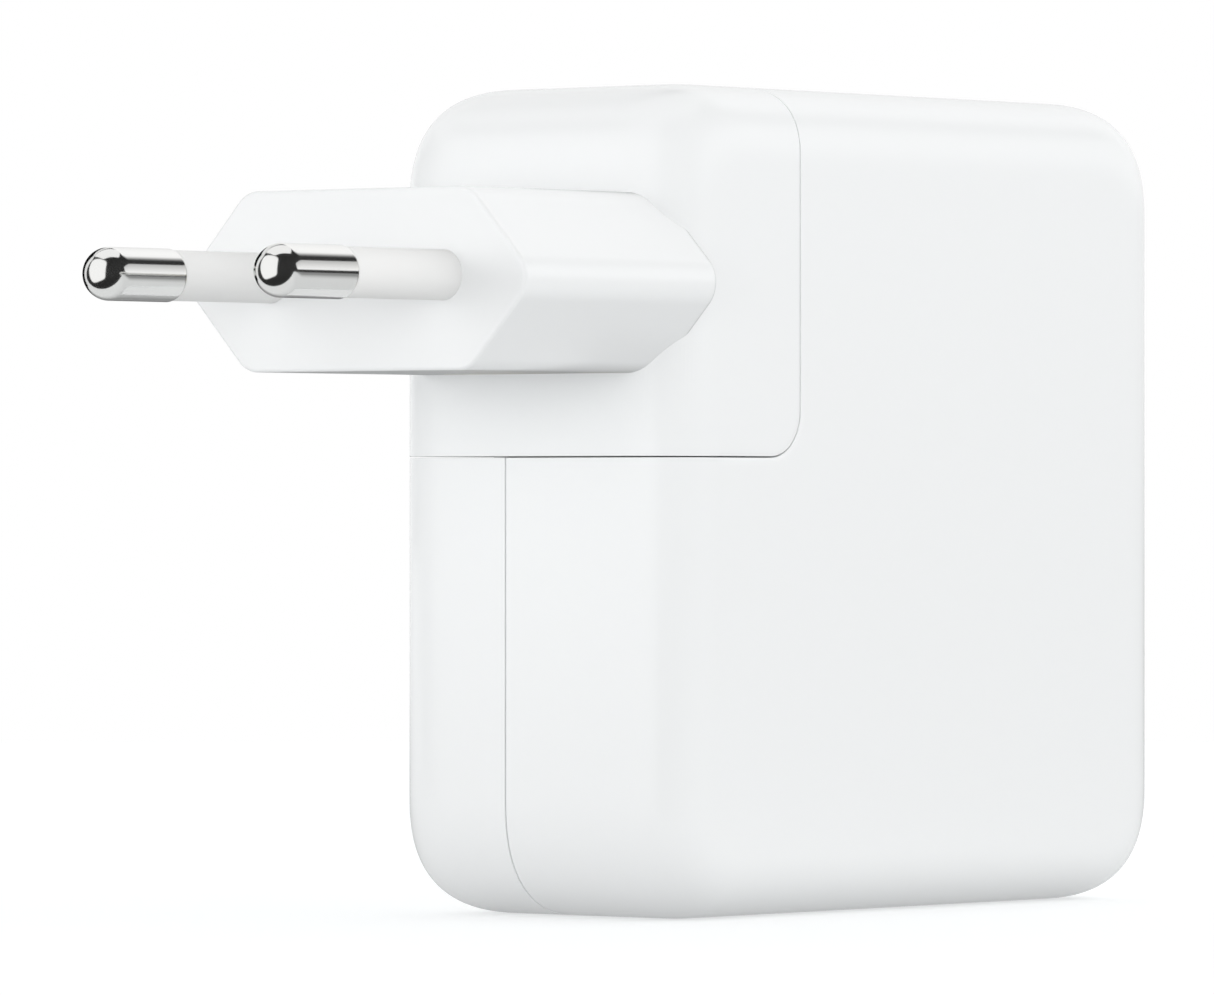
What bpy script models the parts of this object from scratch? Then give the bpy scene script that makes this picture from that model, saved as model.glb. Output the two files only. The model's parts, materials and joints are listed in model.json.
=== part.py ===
"""A mains power adapter for a laptop, with a lift-off two-pin plug head in its upper corner.

Units are metres and +Z is up. The adapter stands on its narrow bottom face, with the origin at the
middle of that face. +X is the end with the output socket, -X is the end with the mains pins, and -Y
is the broad front face.
"""

import math

import bmesh
import bpy
from mathutils import Matrix, Vector

# ---------------------------------------------------------------------------------------------------
# Driving dimensions
# ---------------------------------------------------------------------------------------------------

# Housing
BODY_WIDTH = 0.0640
BODY_HEIGHT = 0.0640
BODY_DEPTH = 0.0286
WALL = 0.0022
CORNER_RADIUS = 0.0092
CORNER_SQUARENESS = 2.46
EDGE_ROUND_DEPTH = 0.0070
EDGE_ROUND_INSET = 0.0058
EDGE_SQUARENESS = 2.6
SEAM_Y = 0.0019
LIP_INSET = 0.0012
LIP_LENGTH = 0.0012

# Gaps
CLEARANCE = 0.0003
SEAM_GAP = 0.0003
PART_SPACING = 0.0012

# Plug head and the notch that it fills
PLUG_HEAD_WIDTH = 0.0160
PLUG_HEAD_HEIGHT = 0.0286
PLUG_HEAD_CORNER = 0.0035
PLUG_HEAD_COVER = 0.0018

# Flat six-sided boss that carries the pins
BOSS_WIDTH = 0.0351
BOSS_HEIGHT = 0.0137
BOSS_FLAT = 0.0222
BOSS_LENGTH = 0.0196
BOSS_ROOT = 0.0034
BOSS_Z_BELOW_TOP = 0.0154
BOSS_FRONT_ROUND = 0.0003
BOSS_REAR_ROUND = 0.0009
BOSS_TIP_ROUND = 0.0024

# Mains pins
PIN_LENGTH = 0.0200
PIN_DIAMETER = 0.0040
PIN_BARE_LENGTH = 0.0084
PIN_NECK_DIAMETER = 0.0024
PIN_SPACING = 0.0171
PIN_CONVERGENCE = 0.0044
PIN_RISE = 0.00025
PIN_SOCKET_DEPTH = 0.0020
PIN_TIP_RATIO = 0.15
SLEEVE_DIAMETER = 0.0038

# Two-way connector between the plug head and the housing
NOSE_WIDTH = 0.0140
NOSE_THICKNESS = 0.0073
NOSE_WAIST = 0.0006
NOSE_LENGTH = 0.0080
NOSE_FLANGE_X = 0.0004
NOSE_FLANGE_Y = 0.0016
NOSE_FLANGE_THICKNESS = 0.0014
CONTACT_SPACING = 0.0086
CONTACT_WALL = 0.0003
INLET_PIN_DIAMETER = 0.0024
INLET_PIN_SETBACK = 0.0010
INLET_WALL = 0.0013
INLET_BASE = 0.0030
INLET_CORNER = 0.0010
INLET_TAIL = 0.0012
STRAP_THICKNESS = 0.0006
STRAP_WIDTH = 0.0030
STRAP_SIDE_GAP = 0.0012

# Retaining stud on the notch wall
STUD_Y = -0.0012
STUD_HEIGHT = 0.0150
STUD_NECK_DIAMETER = 0.0030
STUD_HEAD_DIAMETER = 0.0062
STUD_HEAD_THICKNESS = 0.0012
STUD_PLATE_SIZE = 0.0080
STUD_PLATE_THICKNESS = 0.0008
STUD_RIVET_THICKNESS = 0.0006
STUD_RIVET_DIAMETER = 0.0060

# Output socket
PORT_Y = -0.0012
PORT_MOUTH_WIDTH = 0.00834
PORT_MOUTH_THICKNESS = 0.00256
PORT_SHELL_WALL = 0.0003
PORT_END_RATIO = 0.98
PORT_LENGTH = 0.0074
PORT_SETBACK = 0.0002
TONGUE_WIDTH = 0.0067
TONGUE_THICKNESS = 0.0007
TONGUE_LENGTH = 0.0046
PORT_BLOCK_LENGTH = 0.0022
PORT_BOARD_LENGTH = 0.0140
PORT_BOARD_WIDTH = 0.0180
PORT_BOARD_THICKNESS = 0.0010
HEADER_THICKNESS = 0.0025
HEADER_WIDTH = 0.0120

# Boards, sheets and posts
BOARD_THICKNESS = 0.0016
SPREADER_THICKNESS = 0.0005
SHEET_THICKNESS = 0.0004
POST_DIAMETER = 0.0036
POST_INSET = 0.0078
POST_ROOT = 0.0006

# Components on the main board. A box-shaped one has its length along X, its height and its width.
COMPONENT_CORNER = 0.0005
BULK_CAPACITOR_DIAMETER = 0.0110
BULK_CAPACITORS = 3
OUTPUT_CAPACITOR_DIAMETER = 0.0070
OUTPUT_CAPACITOR_HEIGHT = 0.0120
OUTPUT_CAPACITORS = 2
CAPACITOR_CRIMP = 0.0004
CHOKE_CORE_OUTER = 0.0092
CHOKE_CORE_INNER = 0.0056
CHOKE_CORE_HEIGHT = 0.0048
CHOKE_WIRE_BUILD = 0.0014
CHOKE_SECTOR_ANGLE = 2.20
X_CAPACITOR_SIZE = (0.0130, 0.0120, 0.0060)
RECTIFIER_SIZE = (0.0115, 0.0100, 0.0038)
Y_CAPACITOR_DIAMETER = 0.0080
Y_CAPACITOR_THICKNESS = 0.0036
FUSE_DIAMETER = 0.0040
FUSE_LENGTH = 0.0100
HEAT_SINK_SIZE = (0.0140, 0.0150, 0.0014)
SWITCH_SIZE = (0.0100, 0.0090, 0.0044)
TRANSFORMER_WIDTH = 0.0220
TRANSFORMER_LENGTH = 0.0200
TRANSFORMER_LEG = 0.0070
TRANSFORMER_YOKE = 0.0035
TRANSFORMER_CORE_DEPTH = 0.0080
BOBBIN_WALL = 0.0007
BOBBIN_HEIGHT = 0.0150
WINDING_BUILD = 0.0016

# Fineness of the round surfaces
CORNER_STEPS = 10
EDGE_STEPS = 7
TURN_STEPS = 24
SMALL_TURN_STEPS = 16
NOSE_STEPS = 5
BOSS_ROUND_STEPS = 3
FILLET_STEPS = 5
SECTOR_STEPS = 12

# ---------------------------------------------------------------------------------------------------
# Places worked out from them
# ---------------------------------------------------------------------------------------------------

SIDES = (("front", -1), ("back", 1))

HALF_SEAM = SEAM_GAP / 2
HALF_DEPTH = BODY_DEPTH / 2
LEFT = -BODY_WIDTH / 2
RIGHT = BODY_WIDTH / 2
NOTCH_X = LEFT + PLUG_HEAD_WIDTH
NOTCH_Z = BODY_HEIGHT - PLUG_HEAD_HEIGHT
INNER_DEPTH = HALF_DEPTH - WALL

HEAD_RIGHT = NOTCH_X - HALF_SEAM
HEAD_BOTTOM = NOTCH_Z + HALF_SEAM
HEAD_FLOOR = HEAD_BOTTOM + PLUG_HEAD_CORNER
WALL_LEFT = NOTCH_X + HALF_SEAM
WALL_RIGHT = WALL_LEFT + WALL
SHELF_TOP = NOTCH_Z - HALF_SEAM
SHELF_UNDER = SHELF_TOP - WALL

BOSS_Z = BODY_HEIGHT - BOSS_Z_BELOW_TOP
PIN_Z = BOSS_Z + PIN_RISE
BOSS_FACE = LEFT - BOSS_LENGTH

INLET_HALF_X = NOSE_THICKNESS / 2 + CLEARANCE + INLET_WALL
INLET_HALF_Y = NOSE_WIDTH / 2 + CLEARANCE + INLET_WALL
INLET_X = LEFT + WALL + CLEARANCE + INLET_HALF_X
NOSE_TIP = HEAD_BOTTOM - NOSE_LENGTH
INLET_TOP = SHELF_UNDER - CLEARANCE
RECESS_FLOOR = NOSE_TIP - CLEARANCE
INLET_BOTTOM = RECESS_FLOOR - INLET_BASE
TUBE_INNER = INLET_PIN_DIAMETER / 2 + CLEARANCE
TUBE_OUTER = TUBE_INNER + CONTACT_WALL
STRAP_OUTER = INNER_DEPTH - STRAP_SIDE_GAP

STUD_Z = NOTCH_Z + STUD_HEIGHT
RIVET_END = WALL_RIGHT + 2 * CLEARANCE + STUD_PLATE_THICKNESS + STUD_RIVET_THICKNESS
PORT_Z = BODY_HEIGHT / 2
PORT_HALF_WIDTH = PORT_MOUTH_WIDTH / 2
PORT_HALF_THICKNESS = PORT_MOUTH_THICKNESS / 2
PORT_BOARD_FRONT = PORT_Y + PORT_HALF_THICKNESS + PORT_SHELL_WALL + CLEARANCE

SPREADER_BACK = INNER_DEPTH - CLEARANCE
SHEET_BACK = SPREADER_BACK - SPREADER_THICKNESS - CLEARANCE
BOARD_BACK = SHEET_BACK - SHEET_THICKNESS - CLEARANCE
BOARD_FRONT = BOARD_BACK - BOARD_THICKNESS
SEAT = BOARD_FRONT - CLEARANCE
FRONT_SHEET = -INNER_DEPTH + 2 * CLEARANCE + SPREADER_THICKNESS
BULK_CAPACITOR_HEIGHT = SEAT - FRONT_SHEET - SHEET_THICKNESS - PART_SPACING

# ---------------------------------------------------------------------------------------------------
# Materials
# ---------------------------------------------------------------------------------------------------


def material(name, colour, roughness, metallic=0.0):
    """One Principled material, shared by every piece that asks for it by name."""
    found = bpy.data.materials.get(name)
    if found:
        return found
    made = bpy.data.materials.new(name)
    made.use_nodes = True
    shader = made.node_tree.nodes["Principled BSDF"]
    shader.inputs["Base Color"].default_value = (*colour, 1.0)
    shader.inputs["Roughness"].default_value = roughness
    shader.inputs["Metallic"].default_value = metallic
    return made


def gloss_white():
    return material("gloss_white", (0.90, 0.90, 0.89), 0.12)


def pin_metal():
    return material("nickel_plate", (0.80, 0.80, 0.79), 0.10, 1.0)


def sleeve_plastic():
    return material("sleeve_white", (0.88, 0.88, 0.87), 0.30)


def contact_metal():
    return material("contact_brass", (0.78, 0.62, 0.34), 0.30, 1.0)


def steel():
    return material("stainless_steel", (0.62, 0.62, 0.61), 0.25, 1.0)


def black_plastic():
    return material("black_plastic", (0.03, 0.03, 0.032), 0.45)


def inner_white():
    return material("inner_white", (0.80, 0.80, 0.78), 0.50)


def board_green():
    return material("board_green", (0.03, 0.18, 0.08), 0.40)


def ferrite():
    return material("ferrite_grey", (0.10, 0.10, 0.11), 0.55)


def copper():
    return material("enamelled_copper", (0.62, 0.26, 0.10), 0.35, 0.8)


def aluminium():
    return material("aluminium_sheet", (0.75, 0.76, 0.77), 0.35, 1.0)


def can_sleeve():
    return material("capacitor_sleeve", (0.05, 0.08, 0.16), 0.40)


def yellow_case():
    return material("film_capacitor_yellow", (0.75, 0.56, 0.10), 0.45)


def blue_ceramic():
    return material("ceramic_blue", (0.08, 0.22, 0.55), 0.45)


def amber_sheet():
    return material("insulating_sheet_amber", (0.60, 0.38, 0.12), 0.40)


# ---------------------------------------------------------------------------------------------------
# Outlines: lists of points in a plane
# ---------------------------------------------------------------------------------------------------


def squircle_quarter(centre, radius, first_quadrant_angle, steps=CORNER_STEPS):
    """A clockwise quarter turn of a superellipse, which is a circle with fuller shoulders."""
    points = []
    for step in range(steps + 1):
        angle = first_quadrant_angle - step * math.pi / 2 / steps
        across, up = math.cos(angle), math.sin(angle)
        across = math.copysign(abs(across) ** (2 / CORNER_SQUARENESS), across)
        up = math.copysign(abs(up) ** (2 / CORNER_SQUARENESS), up)
        points.append((centre[0] + radius * across, centre[1] + radius * up))
    return points


def arc(centre, radius, start, end, steps):
    turn = (end - start) / steps
    return [
        (centre[0] + radius * math.cos(start + turn * i), centre[1] + radius * math.sin(start + turn * i))
        for i in range(steps + 1)
    ]


def filleted(points, radius, steps=FILLET_STEPS):
    """The polygon with each corner replaced by an arc of this radius that touches both its sides."""
    rounded = []
    for i, corner in enumerate(points):
        here = Vector(corner)
        back = (Vector(points[i - 1]) - here).normalized()
        ahead = (Vector(points[(i + 1) % len(points)]) - here).normalized()
        half = back.angle(ahead) / 2
        reach = radius / math.tan(half)
        centre = here + (back + ahead).normalized() * radius / math.sin(half)
        start, end = here + back * reach - centre, here + ahead * reach - centre
        sweep = start.angle_signed(end)
        for step in range(steps + 1):
            spoke = Matrix.Rotation(-sweep * step / steps, 2) @ start
            rounded.append(tuple(centre + spoke))
    return rounded


def rectangle(half_a, half_b, centre=(0.0, 0.0)):
    corners = ((-1, -1), (1, -1), (1, 1), (-1, 1))
    return [(centre[0] + half_a * a, centre[1] + half_b * b) for a, b in corners]


def rounded_rectangle(half_a, half_b, radius, centre=(0.0, 0.0), steps=FILLET_STEPS):
    return filleted(rectangle(half_a, half_b, centre), radius, steps)


def hexagon(inset, tip_round):
    """The boss outline across Y and Z: two flats and four slanted sides, moved inwards by inset."""
    half_width, half_height, half_flat = BOSS_WIDTH / 2, BOSS_HEIGHT / 2, BOSS_FLAT / 2
    slant = Vector((half_height, half_width - half_flat)).normalized()
    reach = half_width * slant.x - inset
    height = half_height - inset
    flat = (reach - height * slant.y) / slant.x
    tip = reach / slant.x
    points = [(-tip, 0), (-flat, -height), (flat, -height), (tip, 0), (flat, height), (-flat, height)]
    return [(y, BOSS_Z + z) for y, z in filleted(points, tip_round)]


def waisted_oval(grow):
    """The two-lobed outline of the connector across Y and X, grown outwards all round."""
    end_radius = NOSE_THICKNESS / 2
    end_centre = NOSE_WIDTH / 2 - end_radius
    steps = TURN_STEPS // 2
    points = []
    for side in (1, -1):
        for i in range(steps + 1):
            angle = math.pi * i / steps - math.pi / 2
            y = end_centre + (end_radius + grow) * math.cos(angle)
            points.append((side * y, side * (end_radius + grow) * math.sin(angle)))
        for i in range(1, steps):
            y = end_centre * (1 - 2 * i / steps)
            dip = NOSE_WAIST * math.cos(math.pi * y / 2 / end_centre) ** 2
            points.append((side * y, side * (end_radius + grow - dip)))
    return points


def edge_profile(depth, inset):
    """(y, rounding) pairs from the broad face to the side, down a quarter of a superellipse."""
    pairs = []
    for step in range(EDGE_STEPS + 1):
        angle = math.pi / 2 * (1 - step / EDGE_STEPS)
        out = (EDGE_ROUND_DEPTH - inset) * math.sin(angle) ** (2 / EDGE_SQUARENESS)
        rounding = (EDGE_ROUND_INSET - inset) * (1 - math.cos(angle) ** (2 / EDGE_SQUARENESS))
        pairs.append((depth - EDGE_ROUND_DEPTH + inset + out, rounding))
    return pairs


def both_edges(profile):
    """A profile on the front side, then the same one back to front on the back side."""
    return [(-y, rounding) for y, rounding in profile] + profile[::-1]


def inner_rounding(y):
    """How far the inside of the housing has drawn in at this depth, by the same superellipse."""
    start = INNER_DEPTH - EDGE_ROUND_DEPTH + WALL
    share = max(0.0, (abs(y) - start) / (EDGE_ROUND_DEPTH - WALL))
    return (EDGE_ROUND_INSET - WALL) * (1 - (1 - share**EDGE_SQUARENESS) ** (1 / EDGE_SQUARENESS))


def housing_ring(y, inset, rounding=0.0):
    """The L-shaped outline of the housing at one depth.

    inset moves every side inwards, the notch's too; rounding moves only the outer sides.
    """
    radius = CORNER_RADIUS - inset - rounding
    side = BODY_WIDTH / 2 - inset - rounding
    top = BODY_HEIGHT - inset - rounding
    bottom = inset + rounding
    notch_x = WALL_LEFT + inset
    notch_z = SHELF_TOP - inset
    notch_radius = PLUG_HEAD_CORNER + SEAM_GAP + inset
    points = [(notch_x, top)]
    points += squircle_quarter((side - radius, top - radius), radius, math.pi / 2)
    points += squircle_quarter((side - radius, bottom + radius), radius, 0.0)
    points += squircle_quarter((radius - side, bottom + radius), radius, -math.pi / 2)
    points.append((-side, notch_z))
    notch_centre = (notch_x - notch_radius, notch_z + notch_radius)
    points += arc(notch_centre, notch_radius, -math.pi / 2, 0.0, FILLET_STEPS)
    return [Vector((x, y, z)) for x, z in points]


def plug_head_ring(y, inset, rounding, right, bottom, corner):
    """The outline of the plug head at one depth, with one big outer corner and one small inner one."""
    radius = CORNER_RADIUS - inset - rounding
    left = LEFT + inset + rounding
    top = BODY_HEIGHT - inset - rounding
    points = arc((right - corner, bottom + corner), corner, 0.0, -math.pi / 2, FILLET_STEPS)
    points.append((left, bottom))
    points += squircle_quarter((left + radius, top - radius), radius, math.pi)
    points.append((right, top))
    return [Vector((x, y, z)) for x, z in points]


# ---------------------------------------------------------------------------------------------------
# Solids
# ---------------------------------------------------------------------------------------------------


def clear_scene():
    for item in list(bpy.data.objects):
        bpy.data.objects.remove(item, do_unlink=True)


def add_object(name, mesh, finish):
    made = bpy.data.objects.new(name, mesh)
    bpy.context.scene.collection.objects.link(made)
    if finish:
        mesh.materials.append(finish)
        mesh.shade_smooth()
        mesh.set_sharp_from_angle(angle=math.radians(35))
    return made


def loft(name, rings, finish=None, ring_closed=False):
    """A closed solid through rings of equal count: capped at both ends, or joined back to the first."""
    shape = bmesh.new()
    rows = [[shape.verts.new(point) for point in ring] for ring in rings]
    pairs = list(zip(rows, rows[1:]))
    if ring_closed:
        pairs.append((rows[-1], rows[0]))
    else:
        shape.faces.new(rows[0])
        shape.faces.new(rows[-1])
    for lower, upper in pairs:
        for i in range(len(lower)):
            shape.faces.new((lower[i - 1], lower[i], upper[i], upper[i - 1]))
    bmesh.ops.recalc_face_normals(shape, faces=shape.faces)
    mesh = bpy.data.meshes.new(name)
    shape.to_mesh(mesh)
    shape.free()
    return add_object(name, mesh, finish)


def in_space(axis, along, a, b):
    """The point whose place on the axis is along, and whose other two coordinates are a and b."""
    return {"X": Vector((along, a, b)), "Y": Vector((a, along, b)), "Z": Vector((a, b, along))}[axis]


def prism(name, outline, axis, start, end, finish=None):
    return loft(name, [[in_space(axis, at, a, b) for a, b in outline] for at in (start, end)], finish)


def frame_tube(name, outer, inner, axis, start, end, finish=None):
    """A straight tube between two outlines of equal count."""
    places = [(outer, start), (outer, end), (inner, end), (inner, start)]
    rings = [[in_space(axis, at, a, b) for a, b in outline] for outline, at in places]
    return loft(name, rings, finish, ring_closed=True)


def block(name, low, high, finish=None):
    outline = [(low[0], low[1]), (high[0], low[1]), (high[0], high[1]), (low[0], high[1])]
    return prism(name, outline, "Z", low[2], high[2], finish)


def turned(name, profile, finish=None, hollow=False, steps=TURN_STEPS):
    """A solid turned about local Z from (radius, z) pairs; a hollow one's last pair joins its first."""
    angles = [2 * math.pi * i / steps for i in range(steps)]
    rings = []
    for radius, z in profile:
        rings.append([Vector((radius * math.cos(a), radius * math.sin(a), z)) for a in angles])
    return loft(name, rings, finish, ring_closed=hollow)


def place(item, location, pointing=(0.0, 0.0, 1.0)):
    """Stands the piece at a place, with its local Z along the direction given."""
    item.rotation_mode = "QUATERNION"
    item.rotation_quaternion = Vector(pointing).to_track_quat("Z", "Y")
    item.location = location
    return item


def boolean(item, tool, operation):
    """Cuts or joins one shape with another, which then stays in the file as a hidden guide."""
    tool.hide_render = True
    tool.display_type = "WIRE"
    change = item.modifiers.new(tool.name, "BOOLEAN")
    change.operation = operation
    change.solver = "EXACT"
    change.object = tool


def cut(item, *tools):
    for tool in tools:
        boolean(item, tool, "DIFFERENCE")


def join(item, *tools):
    for tool in tools:
        boolean(item, tool, "UNION")


# ---------------------------------------------------------------------------------------------------
# Housing
# ---------------------------------------------------------------------------------------------------


def port_outline(grow):
    """The output socket across Y and Z: a slot with round ends, upright, grown outwards all round."""
    half_y, half_z = PORT_HALF_THICKNESS + grow, PORT_HALF_WIDTH + grow
    return rounded_rectangle(half_y, half_z, half_y * PORT_END_RATIO, (PORT_Y, PORT_Z))


def nose_prism(name, grow, start, end, finish=None):
    outline = [(INLET_X + x, y) for y, x in waisted_oval(grow)]
    return prism(name, outline, "Z", start, end, finish)


def front_shell():
    """The deeper half of the housing, with a lip inside its rim and the output socket's hole."""
    rings = [housing_ring(-y, 0.0, rounding) for y, rounding in edge_profile(HALF_DEPTH, 0.0)]
    rim = SEAM_Y - HALF_SEAM
    rings.append(housing_ring(rim, 0.0))
    rings.append(housing_ring(rim, LIP_INSET))
    rings.append(housing_ring(SEAM_Y + LIP_LENGTH, LIP_INSET))
    rings.append(housing_ring(SEAM_Y + LIP_LENGTH, WALL))
    inside = reversed(edge_profile(INNER_DEPTH, WALL))
    rings += [housing_ring(-y, WALL, rounding) for y, rounding in inside]
    shell = loft("front_shell", rings, gloss_white())
    past = 2 * WALL
    hole = port_outline(PORT_SHELL_WALL + CLEARANCE)
    port = prism("port_cutter", hole, "X", RIGHT - past, RIGHT + past)
    stud = turned("stud_cutter", [(STUD_NECK_DIAMETER / 2 + CLEARANCE, z) for z in (-past, past)])
    place(stud, (WALL_LEFT, STUD_Y, STUD_Z), (1, 0, 0))
    cut(shell, port, stud, nose_prism("inlet_cutter", CLEARANCE, SHELF_UNDER - past, SHELF_TOP + past))
    return shell


def post_places():
    """Where the posts stand, in X and Z: three corners and the inner side of the notch."""
    side = BODY_WIDTH / 2 - POST_INSET
    high = BODY_HEIGHT - POST_INSET
    inner = WALL_RIGHT + POST_DIAMETER
    return [(side, POST_INSET), (-side, POST_INSET), (side, high), (inner, high)]


def back_shell():
    """The shallower half, rebated for the lip, with four posts inside that carry the main board."""
    rings = [housing_ring(y, 0.0, rounding) for y, rounding in edge_profile(HALF_DEPTH, 0.0)]
    rim = SEAM_Y + HALF_SEAM
    rebate = LIP_INSET - CLEARANCE
    shoulder = SEAM_Y + LIP_LENGTH + CLEARANCE
    rings.append(housing_ring(rim, 0.0))
    rings.append(housing_ring(rim, rebate))
    rings.append(housing_ring(shoulder, rebate))
    rings.append(housing_ring(shoulder, WALL))
    inside = reversed(edge_profile(INNER_DEPTH, WALL))
    rings += [housing_ring(y, WALL, rounding) for y, rounding in inside]
    shell = loft("back_shell", rings, gloss_white())
    for number, (x, z) in enumerate(post_places(), 1):
        length = INNER_DEPTH + POST_ROOT - BOARD_BACK - CLEARANCE
        profile = [(POST_DIAMETER / 2, 0.0), (POST_DIAMETER / 2, length)]
        post = turned(f"post_{number}", profile, steps=SMALL_TURN_STEPS)
        place(post, (x, BOARD_BACK + CLEARANCE, z), (0, 1, 0))
        join(shell, post)
    cut(shell, nose_prism("inlet_cutter_back", CLEARANCE, SHELF_UNDER - WALL, SHELF_TOP + WALL))
    return shell


# ---------------------------------------------------------------------------------------------------
# Plug head
# ---------------------------------------------------------------------------------------------------


def pin_direction(side):
    """The way a pin points: out of the boss, and a little towards its neighbour."""
    return Vector((-math.cos(PIN_CONVERGENCE), -side * math.sin(PIN_CONVERGENCE), 0.0))


def pin_root(side):
    return Vector((BOSS_FACE, side * PIN_SPACING / 2, PIN_Z))


def strap_x():
    """The strap's near face, just clear of the rounded inside of the plug head."""
    return LEFT + WALL + inner_rounding(STRAP_OUTER) + CLEARANCE


def pin_tail():
    """How far a pin reaches behind the boss face, up to its strap."""
    return (strap_x() - CLEARANCE - BOSS_FACE) / math.cos(PIN_CONVERGENCE)


def boss():
    """The six-sided block that carries the pins, softened at its front and rooted in the shell."""
    rings = []
    for step in range(BOSS_ROUND_STEPS + 1):
        angle = math.pi / 2 * step / BOSS_ROUND_STEPS
        inset = BOSS_FRONT_ROUND * (1 - math.sin(angle))
        x = BOSS_FACE + BOSS_FRONT_ROUND * (1 - math.cos(angle))
        rings.append([in_space("X", x, y, z) for y, z in hexagon(inset, BOSS_TIP_ROUND)])
    for back, inset in ((BOSS_REAR_ROUND, 0.0), (0.0, BOSS_REAR_ROUND)):
        x = LEFT + BOSS_ROOT - back
        rings.append([in_space("X", x, y, z) for y, z in hexagon(inset, BOSS_TIP_ROUND)])
    return loft("boss", rings)


def pin_cutter(name, side):
    """A stepped hole for one pin: wide for the root of its sleeve, then narrow for its neck."""
    wide = SLEEVE_DIAMETER / 2 + CLEARANCE
    narrow = PIN_NECK_DIAMETER / 2 + CLEARANCE
    deep = -PIN_SOCKET_DEPTH - CLEARANCE
    far = -pin_tail() - 2 * WALL
    cutter = turned(name, [(wide, WALL), (wide, deep), (narrow, deep), (narrow, far)])
    return place(cutter, pin_root(side), pin_direction(side))


def slot_cutters():
    """The upright slot for the stud's neck, open at the bottom, and the wider way in for its head."""
    neck = STUD_NECK_DIAMETER / 2 + CLEARANCE
    head = STUD_HEAD_DIAMETER / 2 + CLEARANCE
    below = HEAD_BOTTOM - WALL
    top = arc((STUD_Y, STUD_Z), neck, 0.0, math.pi, 10)
    outline = [(STUD_Y - neck, below), (STUD_Y + neck, below)] + top
    cover_back = HEAD_RIGHT - PLUG_HEAD_COVER
    neck_slot = prism("neck_slot_cutter", outline, "X", cover_back - CLEARANCE, HEAD_RIGHT + WALL)
    low = (cover_back - STUD_HEAD_THICKNESS - 2 * CLEARANCE, STUD_Y - head, below)
    head_way = block("head_way_cutter", low, (cover_back, STUD_Y + head, HEAD_FLOOR + WALL))
    return neck_slot, head_way


def plug_head_shell(slot, head_way):
    """The hollow outer moulding with its boss; the side that meets the housing's wall is open."""
    rings = []
    for y, rounding in both_edges(edge_profile(HALF_DEPTH, 0.0)):
        rings.append(plug_head_ring(y, 0.0, rounding, HEAD_RIGHT, HEAD_BOTTOM, PLUG_HEAD_CORNER))
    shell = loft("plug_head_shell", rings, gloss_white())
    hollow = []
    for y, rounding in both_edges(edge_profile(INNER_DEPTH, WALL)):
        hollow.append(plug_head_ring(y, WALL, rounding, HEAD_RIGHT + WALL, HEAD_FLOOR, WALL / 2))
    join(shell, boss())
    cut(shell, loft("plug_head_hollow", hollow))
    cut(shell, *[pin_cutter(f"pin_cutter_{where}", side) for where, side in SIDES])
    cut(shell, nose_prism("nose_cutter", CLEARANCE, HEAD_BOTTOM - WALL, HEAD_FLOOR + WALL))
    cut(shell, slot, head_way)
    return shell


def plug_head_cover(slot):
    """The plate that closes the hollow beside the housing, slotted for the stud."""
    rings = []
    left, right = HEAD_RIGHT - PLUG_HEAD_COVER, HEAD_RIGHT
    bottom = HEAD_FLOOR + CLEARANCE
    inset = WALL + CLEARANCE
    for y, rounding in both_edges(edge_profile(HALF_DEPTH - inset, inset)):
        top = BODY_HEIGHT - inset - rounding
        corners = ((left, bottom), (right, bottom), (right, top), (left, top))
        rings.append([Vector((x, y, z)) for x, z in corners])
    cover = loft("plug_head_cover", rings, gloss_white())
    cut(cover, slot)
    return cover


def plug_connector():
    """The two-lobed nose under the plug head, with a flange that rests on the floor inside it."""
    top = HEAD_FLOOR + CLEARANCE + NOSE_FLANGE_THICKNESS
    nose = nose_prism("plug_connector", 0.0, NOSE_TIP, top, inner_white())
    half_x = NOSE_THICKNESS / 2 + NOSE_FLANGE_X
    half_y = NOSE_WIDTH / 2 + NOSE_FLANGE_Y
    low = (INLET_X - half_x, -half_y, HEAD_FLOOR + CLEARANCE)
    join(nose, block("connector_flange", low, (INLET_X + half_x, half_y, top)))
    for where, side in SIDES:
        profile = [(TUBE_OUTER + CLEARANCE, z) for z in (NOSE_TIP - WALL, top + WALL)]
        bore = turned(f"contact_bore_{where}", profile)
        cut(nose, place(bore, (INLET_X, side * CONTACT_SPACING / 2, 0.0)))
    return nose


def round_nose(radius, tip):
    """The half-round end of a pin up to its tip, with a small flat in the middle."""
    profile = []
    for step in range(NOSE_STEPS):
        angle = math.pi / 2 * step / NOSE_STEPS
        profile.append((radius * math.cos(angle), tip - radius + radius * math.sin(angle)))
    profile.append((radius * PIN_TIP_RATIO, tip))
    return profile


def plug_pin(name, side):
    """A turned mains pin: a round-nosed bare tip, then a thinner neck that runs back inside."""
    radius = PIN_DIAMETER / 2
    neck = PIN_NECK_DIAMETER / 2
    shoulder = PIN_LENGTH - PIN_BARE_LENGTH
    profile = [(neck, -pin_tail()), (neck, shoulder), (radius, shoulder)]
    profile += round_nose(radius, PIN_LENGTH)
    return place(turned(name, profile, pin_metal()), pin_root(side), pin_direction(side))


def pin_sleeve(name, side):
    """The insulating sleeve between the boss and the bare tip, rooted a little way into the boss."""
    outer, inner = SLEEVE_DIAMETER / 2, PIN_NECK_DIAMETER / 2 + CLEARANCE
    start, end = -PIN_SOCKET_DEPTH, PIN_LENGTH - PIN_BARE_LENGTH - CLEARANCE
    profile = [(inner, start), (outer, start), (outer, end), (inner, end)]
    sleeve = turned(name, profile, sleeve_plastic(), hollow=True)
    return place(sleeve, pin_root(side), pin_direction(side))


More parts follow.
